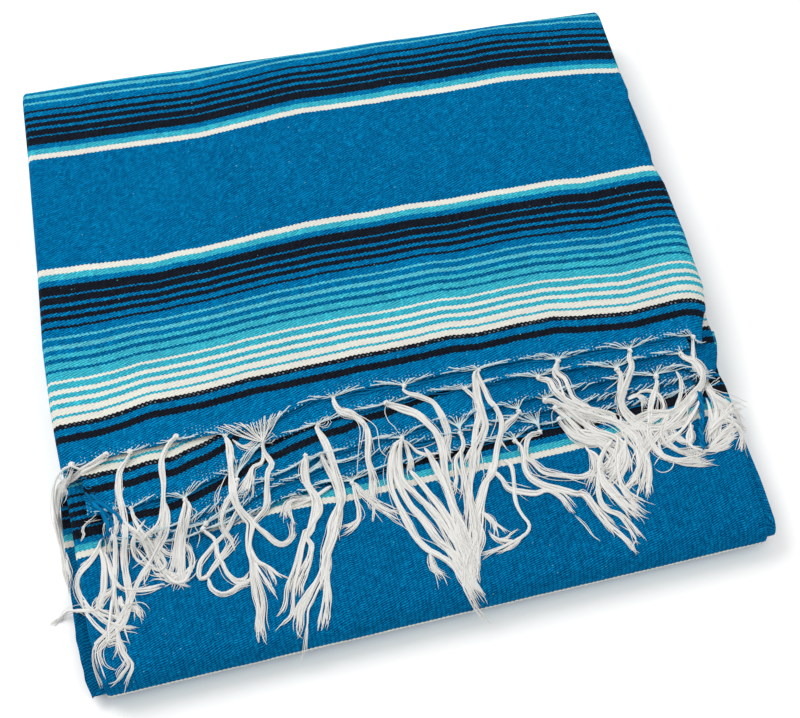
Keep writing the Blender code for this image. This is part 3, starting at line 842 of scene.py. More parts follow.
    # Painted light and shade of the weave: ridges lighter, valleys and holes darker, and a few painted glints on yarn
    # tops; and slow changes of dye and wear. Pale weft shows its ridges least.
    parts = s.node("ShaderNodeSeparateColor", {"Color": colour})
    depth = s.ramp01(parts.outputs[1], 0.16, 0.75, 1.0, 0.14, smooth=False)
    cell = s.white(s.vector(number, row_number, 2.0))
    patch = s.add(s.noise(s.vector(u, v, 19.0), 0.018, 3.0), -0.5)
    bars = s.add(s.noise(s.vector(s.times(u, 0.06), s.times(v, 1.1), 29.0), 0.5, 2.0), -0.5)
    fine = s.white(s.vector(s.math("FLOOR", s.times(column, 2.0)), row_number, 9.0))
    # A few yarn tops get a painted glint.
    glint_specks = s.times(s.math("GREATER_THAN", fine, 0.90), 0.14)
    apart = s.math("FRACT", s.add(column, s.times(s.math("FLOORED_MODULO", row_number, 2.0), 0.5)))
    # Holes between the weft are painted darker: painted shade.
    hole = s.times(s.math("GREATER_THAN", s.white(s.vector(number, row_number, 31.0)), 0.50), s.math("GREATER_THAN", s.math("ABSOLUTE", s.add(apart, -0.5)), 0.28), s.math("LESS_THAN", ridge, 0.75), -0.36)
    ribs = s.times(s.add(s.times(s.add(height, -0.62), 1.45), s.times(s.add(cell, -0.5), 0.26), s.times(s.add(fine, -0.5), 0.34), glint_specks, hole), contrast)
    shade = s.add(0.92, s.times(ribs, depth), s.times(patch, 0.16), s.times(bars, 0.12))
    if dim:
        # The deeper ends lie in the shade of those above on the right, where the stack is tallest.
        shade = s.times(shade, s.add(1.0, s.times(s.ramp01(u, 30.0, 110.0), -dim)))
    green = s.math("POWER", s.math("MAXIMUM", shade, 0.02), 1.3)
    colour = s.mix(1.0, colour, s.vector(s.times(shade, tone), s.times(green, tone * 1.02), s.times(shade, tone)), "MULTIPLY")
    height = s.add(s.times(height, s.add(0.25, s.times(depth, 0.75))), s.times(dots, 0.3))
    normal = s.node("ShaderNodeBump", {"Strength": 1.0, "Distance": 0.00050, "Height": height}).outputs[0]
    roughness = s.add(0.93, s.times(height, -0.08))
    return s.surface(colour, roughness, normal, sheen=0.12, sheen_rough=0.4, sheen_tint=(0.01, 0.36, 0.62), gloss=0.015)


def yarn_material(name, light, dark, sheen=0.20, through=0.22):
    """Plied yarn: a slanted twist, with each yarn its own tone and soft dirt along it."""
    s = Shader(name)
    uv = s.node("ShaderNodeUVMap", uv_map="yarn").outputs[0]
    split = s.node("ShaderNodeSeparateXYZ", {"Vector": uv})
    along = s.times(split.outputs[1], 1000.0)
    tone = s.node("ShaderNodeAttribute", attribute_name="tone", attribute_type="GEOMETRY").outputs["Fac"]
    # Tones over 2 mark single warps, which let the cloth's blue show through them.
    single = s.math("GREATER_THAN", tone, 1.5)
    tone = s.add(tone, s.times(single, -2.0))
    twist = s.math("SINE", s.times(s.add(s.times(along, 1 / 1.1), s.times(split.outputs[0], 2.0)), math.tau))
    twist = s.add(0.5, s.times(twist, 0.5))
    grain = s.noise(s.vector(s.times(split.outputs[0], 9.0), along, s.times(tone, 37.0)), 0.9, 3.0)
    slow = s.noise(s.vector(s.times(tone, 71.0), s.times(along, 0.08)), 1.0, 2.0)
    # Fine fibres run along it, wound a little round.
    fibres = s.noise(s.vector(s.times(s.add(split.outputs[0], s.times(along, 0.035)), 16.0), s.times(along, 0.16), s.times(tone, 53.0)), 1.0, 3.0)
    amount = s.add(s.times(tone, 0.42), s.times(fibres, 0.46), s.times(grain, 0.14), s.times(slow, 0.16), -0.10)
    colour = s.mix(s.math("MINIMUM", s.math("MAXIMUM", amount, 0.0), 1.0), dark, light)
    colour = s.mix(s.times(single, 0.42), colour, srgb(180, 221, 232))
    height = s.add(s.times(twist, 0.25), s.times(fibres, 0.9), s.times(grain, 0.3))
    normal = s.node("ShaderNodeBump", {"Strength": 0.7, "Distance": 0.00018, "Height": height}).outputs[0]
    return s.surface(colour, s.add(0.86, s.times(grain, 0.1)), normal, sheen=sheen, sheen_rough=0.4, through=through)


def floor_material():
    """A pale matte sheet of paper, with a faint tooth."""
    s = Shader("pale_paper")
    where = s.node("ShaderNodeTexCoord").outputs["Object"]
    tooth = s.noise(where, 900.0, 3.0)
    slow = s.noise(where, 3.0, 2.0)
    value = s.add(0.93, s.times(slow, 0.010))
    colour = s.vector(value, value, s.times(value, 0.997))
    normal = s.node("ShaderNodeBump", {"Strength": 0.15, "Distance": 0.0001, "Height": tooth}).outputs[0]
    return s.surface(colour, 0.9, normal, sheen=0.0)


BRIGHT = 0.84
STRIPED = cloth_material("serape_stripes", tone=BRIGHT * 0.98, contrast=1.0)
STRIPED_UNDER = cloth_material("serape_stripes_under", tone=BRIGHT * 0.97, contrast=1.1)
# The deeper ends are a darker copy of the stripes, dimmer still towards the right: painted shade of the layers above.
STRIPED_DEEP = cloth_material("serape_stripes_deep", tone=BRIGHT * 0.95, contrast=1.1, dim=0.17)
INNER = cloth_material("serape_inner_leaves", repeating=True, tone=BRIGHT * 0.92, fleck=0.6)
PLAIN = cloth_material("serape_plain_band", tone=BRIGHT * 0.96, pitch=1.30, slant=0.64, contrast=0.95, mesh=(0.40, 0.42, 0.04, 0.14))
# The lower-left selvedge is a much darker copy of the stripes: painted shade of that low, tucked layer.
SHADED_SELVEDGE = cloth_material("serape_selvedge_shaded", tone=BRIGHT * 0.75)
COTTON = yarn_material("fringe_cotton", srgb(246, 246, 243), srgb(232, 230, 226), through=0.25)
WEFT = yarn_material("loose_blue_weft", srgb(0, 142, 204), srgb(0, 66, 108), sheen=0.04, through=0.1)

# ---------------------------------------------------------------- cloth pieces
top = build_cloth("top_cloth", top_sheet(), STRIPED)
lower = build_cloth("lower_cloth", lower_sheet(), PLAIN)
ends = {k: build_cloth(f"end_cloth_{k}", end_layer(k), STRIPED_UNDER if k == 2 else STRIPED_DEEP) for k in (2, 3, 4, 5)}
strip = build_cloth("side_cloth", side_strip(), SHADED_SELVEDGE)
leaves = [hidden_leaf("inner_leaf_outer", 0.0042, 5, INNER), hidden_leaf("inner_leaf_middle", 0.0014, 6, INNER)]


# ---------------------------------------------------------------- fringe: where it lies
# The camera's own line through a point of the picture, for laying tassels along the cloth.
FOCAL_PX, MIDDLE_PX = 1650.0, (400.0, 359.0)
AZIMUTH, ELEVATION, FAR_AWAY = math.radians(-12.1), math.radians(60.5), 0.9995
TARGET = np.array([0.0107 + SHIFT[0], -0.0267 + SHIFT[1], 0.0])
BACK = np.array([math.sin(AZIMUTH) * math.cos(ELEVATION), -math.cos(AZIMUTH) * math.cos(ELEVATION), math.sin(ELEVATION)])
RIGHT = np.cross(-BACK, (0, 0, 1.0))
RIGHT /= np.linalg.norm(RIGHT)
UP = np.cross(RIGHT, -BACK)
EYE = TARGET + BACK * FAR_AWAY


class Ground:
    """Height of whatever lies highest, over a plan grid of 0.8 mm. Yarn laid on it raises it."""

    step = 0.0008
    x0, y0 = -0.235, -0.250

    def __init__(self, objects):
        vertices, faces = [], []
        for obj in objects:
            mesh = obj.data
            co = np.empty(len(mesh.vertices) * 3, np.float32)
            mesh.vertices.foreach_get("co", co)
            base = len(vertices)
            vertices += co.reshape(-1, 3).tolist()
            faces += [tuple(base + i for i in polygon.vertices) for polygon in mesh.polygons]
        tree = BVHTree.FromPolygons(vertices, faces)
        self.shape = (int(0.47 / self.step), int(0.235 / self.step))
        self.high = np.zeros(self.shape)
        down = Vector((0, 0, -1))
        for i in range(self.shape[0]):
            x = self.x0 + i * self.step
            for j in range(self.shape[1]):
                hit = tree.ray_cast(Vector((x, self.y0 + j * self.step, 0.1)), down)[0]
                if hit is not None:
                    self.high[i, j] = max(hit.z, 0.0)
        self.cloth = self.high.copy()

    def at(self, x, y, high=None):
        high = self.high if high is None else high
        i = np.clip((np.asarray(x) - self.x0) / self.step, 0, self.shape[0] - 1.001)
        j = np.clip((np.asarray(y) - self.y0) / self.step, 0, self.shape[1] - 1.001)
        a, b = i.astype(int), j.astype(int)
        fi, fj = i - a, j - b
        return (high[a, b] * (1 - fi) + high[a + 1, b] * fi) * (1 - fj) + (high[a, b + 1] * (1 - fi) + high[a + 1, b + 1] * fi) * fj

    def pile(self, points, radius):
        """Raises the ground to the top of a yarn."""
        reach = int(math.ceil(radius / self.step))
        i = np.clip(np.rint((points[:, 0] - self.x0) / self.step).astype(int), reach, self.shape[0] - reach - 1)
        j = np.clip(np.rint((points[:, 1] - self.y0) / self.step).astype(int), reach, self.shape[1] - reach - 1)
        for di in range(-reach, reach + 1):
            for dj in range(-reach, reach + 1):
                off = math.hypot(di, dj) * self.step
                if off <= radius:
                    np.maximum.at(self.high, (i + di, j + dj), points[:, 2] + math.sqrt(radius**2 - off**2) * 0.8)


ground = Ground([top, lower, *ends.values(), strip, *leaves])


def droop(z, steps, steepest=1.25):
    """Holds a yarn's heights up where what is under it falls away more steeply than a yarn bends."""
    z = z.copy()
    for k in range(1, len(z)):
        z[k] = max(z[k], z[k - 1] - steepest * steps[k - 1])
    for k in range(len(z) - 2, -1, -1):
        z[k] = max(z[k], z[k + 1] - steepest * steps[k])
    return z


def on_ground(pixels):
    """Plan points, in metres, of picture points that lie on the cloth or on yarn that is already there."""
    pixels = np.asarray(pixels, float)
    a = (pixels[:, 0] - MIDDLE_PX[0]) / FOCAL_PX
    b = -(pixels[:, 1] - MIDDLE_PX[1]) / FOCAL_PX
    ray = -BACK[None] + a[:, None] * RIGHT[None] + b[:, None] * UP[None]
    z = np.full(len(pixels), 0.026)
    for _ in range(16):
        t = (z - EYE[2]) / ray[:, 2]
        p = EYE[None] + ray * t[:, None]
        under = ground.at(p[:, 0], p[:, 1]) + 0.0008
        under = droop(under, np.maximum(np.hypot(*np.diff(p[:, :2], axis=0).T), 1e-5))
        z = z * 0.5 + under * 0.5
    return p[:, :2]


def smooth(values, width):
    """A running mean with held ends."""
    if width < 2:
        return values
    kernel = np.ones(width) / width
    pad = width // 2
    padded = np.concatenate([np.repeat(values[:1], pad, 0), values, np.repeat(values[-1:], width - 1 - pad, 0)])
    if values.ndim == 1:
        return np.convolve(padded, kernel, "valid")
    return np.stack([np.convolve(padded[:, k], kernel, "valid") for k in range(values.shape[1])], 1)


def curve_through(points, step):
    """A Catmull-Rom curve through plan points, resampled evenly."""
    p = np.asarray(points, float)
    p = np.concatenate([2 * p[:1] - p[1:2], p, 2 * p[-1:] - p[-2:-1]])
    t = np.linspace(0, 1, 9)[:-1, None]
    out = []
    for a, b, c, d in zip(p[:-3], p[1:-2], p[2:-1], p[3:]):
        out.append(0.5 * (2 * b + (c - a) * t + (2 * a - 5 * b + 4 * c - d) * t**2 + (3 * b - a - 3 * c + d) * t**3))
    out = np.concatenate([*out, p[-2:-1]])
    long = np.concatenate([[0], np.cumsum(np.linalg.norm(np.diff(out, axis=0), axis=1))])
    number = max(int(round(long[-1] / step)), 3)
    s = np.linspace(0, long[-1], number + 1)
    return np.stack([np.interp(s, long, out[:, k]) for k in range(2)], 1), s


def wander(rng, s, size, shortest, longest, parts=3):
    """Smooth random offsets along a yarn."""
    total = np.zeros(len(s))
    for _ in range(parts):
        length = rng.uniform(shortest, longest)
        total += np.sin(math.tau * s / length + rng.uniform(0, math.tau)) * rng.uniform(0.4, 1.0)
    return total * size / parts


class Yarns:
    """Many yarns gathered into one mesh."""

    def __init__(self):
        self.points, self.radii, self.tones = [], [], []

    def add(self, points, radius, tone):
        if len(points) >= 3:
            self.points.append(np.asarray(points, float))
            self.radii.append(np.broadcast_to(np.asarray(radius, float), (len(points),)).copy())
            self.tones.append(tone)

    def build(self, name, look):
        all_points, all_quads, all_uv, all_tones = [], [], [], []
        base = 0
        for line, radius, tone in zip(self.points, self.radii, self.tones):
            ahead = np.gradient(line, axis=0)
            ahead /= np.maximum(np.linalg.norm(ahead, axis=1), 1e-9)[:, None]
            # A frame that hardly turns: project one fixed direction, carried along.
            normal = np.empty_like(line)
            seed = np.array([0.0, 0.0, 1.0]) if abs(ahead[0, 2]) < 0.9 else np.array([1.0, 0.0, 0.0])
            for k in range(len(line)):
                seed = seed - ahead[k] * (seed @ ahead[k])
                long = math.sqrt(seed @ seed)
                seed = seed / long if long > 1e-6 else np.array([0.0, 1.0, 0.0])
                normal[k] = seed
            side = np.cross(ahead, normal)
            r = radius.copy()
            r[0] *= 0.35
            r[-1] *= 0.35
            count = 5 if r.max() < 0.0005 else 8
            turn = np.arange(count) / count * math.tau
            ring = line[:, None] + r[:, None, None] * (np.cos(turn)[None, :, None] * normal[:, None] + np.sin(turn)[None, :, None] * side[:, None])
            long = np.concatenate([[0], np.cumsum(np.linalg.norm(np.diff(line, axis=0), axis=1))])
            all_points.append(ring.reshape(-1, 3))
            all_quads.append(grid_quads(len(line), count, closed=True, start=base))
            uv = np.stack([np.broadcast_to(np.arange(count)[None, :] / count, ring.shape[:2]), np.broadcast_to(long[:, None], ring.shape[:2])], -1)
            all_uv.append(uv.reshape(-1, 2))
            all_tones.append(np.full(len(line) * count, tone))
            base += len(line) * count
        made = quad_mesh(name, np.concatenate(all_points), np.concatenate(all_quads), None, {"tone": np.concatenate(all_tones)}, (look,))
        layer = made.data.uv_layers.new(name="yarn")
        quads = np.concatenate(all_quads)
        layer.data.foreach_set("uv", np.concatenate(all_uv)[quads.ravel()].astype(np.float32).ravel())
        return made


YARN = 0.00034


def settle(x, y, lift, loft, width=5):
    """Heights of a yarn that lies on what is there: it bridges dips, and never sinks in."""
    under = ground.at(x, y) + lift
    steps = np.hypot(np.diff(x), np.diff(y))
    z = droop(under, steps)
    z = smooth(z, width)
    return np.maximum(smooth(np.maximum(z, under), 3), under - 0.0002) + loft


STRAND = 0.00060


def tassel(rng, into, pixels, yarns, spread=1.0, fray=1.0, start=0.35, radius=STRAND, tone=None, strands=None, part=0.55):
    """A bunch of soft strands laid along picture points, from its knot to where each parts into threads."""
    line, s = curve_through(on_ground(pixels), 0.0022)
    if len(line) < 6:
        return
    long = s[-1]
    ahead = np.gradient(line, axis=0)
    ahead /= np.maximum(np.linalg.norm(ahead, axis=1), 1e-9)[:, None]
    across = np.stack([ahead[:, 1], -ahead[:, 0]], 1)
    share = s / long
    strands = strands or max(2, int(round(yarns * 0.43)))
    size = radius * (0.50 + 0.60 * (strands - 1)) * 0.78 * spread
    wide = size * (start + (1 - start) * np.clip(s / 0.010, 0, 1)) * (1 + 0.35 * wander(rng, s, 1.0, 0.02, 0.06))
    wide = wide * (1 + 0.45 * fray * np.clip((share - 0.6) / 0.4, 0, 1) ** 1.5)
    phase = rng.uniform(0, math.tau)
    turns = rng.uniform(-1, 1) * math.tau / 0.16
    # A soft core closes the gaps of the bunch where it is still tight.
    if strands >= 3 and into is not blue:
        last = max(6, int(len(s) * 0.72))
        core = np.minimum(wide[:last] * 0.62, radius * 1.5) * np.clip(1.25 - share[:last], 0.35, 1.0)
        x, y = line[:last].T
        into.add(np.stack([x, y, settle(x, y, core * 0.45, 0.0)], 1), core, 0.55)
    for j in rng.permutation(strands):
        angle = math.pi * (j + 0.5) / strands + rng.uniform(-0.15, 0.15)
        side = wide * np.cos(angle + 0.55 * np.sin(turns * s + phase + j * 0.9)) + wander(rng, s, 0.0007, 0.02, 0.05)
        away = rng.normal(0, 0.0022) * fray
        side = side + away * np.clip((share - rng.uniform(0.35, 0.7)) / 0.5, 0, 1) ** 1.5
        stop = max(6, int(len(s) * (1 - 0.24 * fray * rng.random() ** 1.6)))
        x, y = (line + across * side[:, None])[:stop].T
        r = radius * rng.uniform(0.68, 1.22) * (1 + 0.12 * wander(rng, s[:stop], 1.0, 0.008, 0.02))
        # The strand thins where its threads part, some early and some near its tip.
        parts = max(4, int(max(rng.uniform(0.009, 0.016), long * rng.uniform(0.1, part)) / 0.0022)) if fray > 0 else 2
        parts = min(parts, stop - 3)
        thin = np.clip((np.arange(stop) - (stop - 1 - parts)) / max(parts, 1), 0, 1)
        r = r * (1 - 0.62 * thin**0.9)
        r = r * np.clip(0.75 + s[:stop] / 0.012, 0, 1)
        z = settle(x, y, r * 0.80, 0.0)
        colour = rng.uniform(0.35, 1.0) if tone is None else tone
        into.add(np.stack([x, y, z], 1), r, colour)
        piled = [(np.stack([x, y, z], 1), float(np.mean(r)))]
        for _ in range(5 if fray > 0 else 0):
            first = max(1, stop - 1 - parts - int(rng.integers(0, 3)))
            n = stop - first
            t = np.linspace(0, 1, n)
            off = rng.normal(0, 0.0009)
            curve = off * t**1.1 + wander(rng, s[first:stop], 0.0005, 0.010, 0.03) * np.clip(t * 3, 0, 1)
            px = x[first:] + across[first:stop, 0] * curve
            py = y[first:] + across[first:stop, 1] * curve
            tip = np.array([px[-1] - px[-3], py[-1] - py[-3]])
            tip /= max(np.linalg.norm(tip), 1e-9)
            bend = rng.normal(0, 0.10) + off * 60
            more = int(rng.uniform(0.0005, 0.0095) * rng.random() ** 0.5 / 0.0019)
            extra = [np.array([px[-1], py[-1]])]
            for _ in range(more):
                bend += rng.normal(0, 0.05)
                tip = np.array([tip[0] * math.cos(bend) - tip[1] * math.sin(bend), tip[0] * math.sin(bend) + tip[1] * math.cos(bend)])
                extra.append(extra[-1] + tip * 0.0019)
            px = np.concatenate([px, [e[0] for e in extra[1:]]])
            py = np.concatenate([py, [e[1] for e in extra[1:]]])
            fine = YARN * rng.uniform(0.6, 1.0) * np.ones(len(px))
            fine[-3:] *= (0.9, 0.75, 0.5)
            pz = settle(px, py, fine, 0.0) + rng.uniform(0, 0.0003)
            into.add(np.stack([px, py, pz], 1), fine, float(np.clip(colour + rng.uniform(-0.25, 0.25), 0, 1)))
        # A few fibres stand a little off the strand.
        for _ in range(rng.integers(0, 3)):
            first = int(rng.integers(0, max(1, stop // 2)))
            last = min(stop, first + int(rng.integers(6, 18)))
            if last - first >= 5:
                t = np.linspace(0, 1, last - first)
                off = rng.choice((-1, 1)) * (radius * 0.8 + rng.uniform(0.0, 0.0020) * np.sin(t * math.pi) ** 0.8)
                px, py = x[first:last] + across[first:last, 0] * off, y[first:last] + across[first:last, 1] * off
                pz = settle(px, py, YARN * 0.5, 0.0) + 0.0002
                into.add(np.stack([px, py, pz], 1), YARN * rng.uniform(0.45, 0.65), rng.uniform(0.5, 1.0))
        for points, thick in piled:
            ground.pile(points, max(thick * 1.05, YARN))


def cord(rng, into, pixels, radius=0.00078, turn=0.0100):
    """Two thick strands wound round one another."""
    line, s = curve_through(on_ground(pixels), 0.0012)
    ahead = np.gradient(line, axis=0)
    ahead /= np.maximum(np.linalg.norm(ahead, axis=1), 1e-9)[:, None]
    across = np.stack([ahead[:, 1], -ahead[:, 0]], 1)
    base = settle(line[:, 0], line[:, 1], radius * 0.9, 0.0, 9)
    for k in (0, 1):
        swing = math.tau * s / turn + math.pi * k
        side = radius * 1.15 * np.cos(swing)
        x, y = (line + across * side[:, None]).T
        z = base + radius * 1.0 * (1 + np.sin(swing))
        r = radius * (1 - 0.4 * np.clip((s / s[-1] - 0.9) / 0.1, 0, 1))
        into.add(np.stack([x, y, z], 1), r, 0.75 if k else 0.15)
        ground.pile(np.stack([x, y, z], 1), radius)


def curl(rng, into, pixel, size_px=3.0, turns=0.55, radius=YARN * 0.8):
    """A short thread that has curled up on the cloth."""
    a = np.linspace(0, math.tau * turns, 10) + rng.uniform(0, math.tau)
    grow = size_px * np.linspace(1.0, rng.uniform(0.3, 0.8), len(a))
    lean = rng.uniform(0.5, 1.0)
    pixels = np.stack([pixel[0] + grow * np.cos(a), pixel[1] + lean * grow * np.sin(a)], 1)
    line, s = curve_through(on_ground(pixels), 0.0012)
    z = settle(line[:, 0], line[:, 1], radius, 0.0, 3) + 0.0006 * np.sin(s / s[-1] * math.pi)
    into.add(np.stack([line[:, 0], line[:, 1], z], 1), radius, rng.uniform(0.5, 1.0))


def knot(rng, into, pixel, size=0.0017, loops=5):
    """An overhand knot: loops of yarn round a small lump, on the cloth's edge."""
    centre = on_ground([pixel])[0]
    floor = float(ground.at(centre[0], centre[1]))
    size = size * rng.uniform(0.85, 1.25)
    middle = np.array([centre[0], centre[1], floor + size * 0.62])
    for loop in range(loops):
        axis = rng.normal(size=3) * (1, 1, 0.45)
        axis /= np.linalg.norm(axis)
        one = np.cross(axis, (0, 0, 1.0))
        one /= np.linalg.norm(one)
        two = np.cross(axis, one)
        a = np.linspace(0, math.tau * 1.1, 18)
        radius = size * rng.uniform(0.45, 0.75)
        drift = np.linspace(-0.5, 0.5, len(a)) * size * 0.9
        p = middle + radius * (np.cos(a)[:, None] * one + 0.85 * np.sin(a)[:, None] * two) + drift[:, None] * axis
        p[:, 2] = np.maximum(p[:, 2], floor + YARN * 0.6)
        into.add(p, STRAND * 0.85, rng.uniform(0.5, 1.0))
    ground.pile(np.array([middle + (0, 0, size * 0.3)]), size * 0.9)


def edge_point(number, x, below=0.0):
    """Plan point on an end's fringed edge, x being that of the straight stack, or a little in front of it."""
    edge = float(end_edge(number, np.array([x]))[0])
    return place(np.array([[x, edge - below, 0.03]]), shape=False)[0][:2]


def edge_warps(rng, into, number, left, right, knots):
    """The warps that leave an end's cut edge every few millimetres and run along it to their knots."""
    for x in np.arange(-left, right, 0.0025):
        x = x + rng.normal(0, 0.0003)
        here = edge_point(number, x)
        away = np.array([k[0] - here[0] for k in knots])
        near = int(np.argmin(np.abs(away)))
        off = away[near]
        inside = rng.uniform(0.0004, 0.0026) + 0.0012 * (rng.random() < 0.25)
        if abs(off) < 0.026:
            start = edge_point(number, x, -inside)
            turn = rng.uniform(0.25, 0.5)
            path = [start, edge_point(number, x + turn * off / 1.03, -inside * 0.30), edge_point(number, x + 0.8 * off / 1.03, 0.0004) * 0.5 + knots[near] * 0.5, knots[near]]
        elif rng.random() < 0.8:
            run = math.copysign(rng.uniform(0.004, 0.012), off)
            path = [edge_point(number, x, -inside), edge_point(number, x + run * 0.5, -inside * 0.15), edge_point(number, x + run, rng.uniform(0.0002, 0.0018))]
        else:
            continue
        line, s = curve_through(path, 0.0015)
        z = settle(line[:, 0], line[:, 1], YARN * 0.75, 0.0, 3) + 0.0002
        z[0] -= 0.0009
        z += np.clip(s / s[-1] - 0.6, 0, 1) * (0.0030 if abs(off) < 0.026 else 0.0)
        into.add(np.stack([line[:, 0], line[:, 1], z], 1), YARN * rng.uniform(0.68, 1.0), 2.0 + rng.uniform(0.75, 1.0))


def loose_weft(rng, into, number, x_from, x_to, off=0.0012):
    """A blue weft yarn that has slipped off the edge and runs along it."""
    x = np.arange(x_from, x_to, 0.0030)
    s = np.abs(x - x[0])
    y = end_edge(number, x) - off + wander(rng, s, 0.0011, 0.012, 0.04)
    p = place(np.stack([x, y, np.full(len(x), 0.03)], 1), shape=False)
    z = settle(p[:, 0], p[:, 1], YARN, 0.0002, 5)
    into.add(np.stack([p[:, 0], p[:, 1], z], 1), YARN * 0.95, rng.uniform(0.3, 0.9))

# ---------------------------------------------------------------- fringe: the tassels
blue = Yarns()
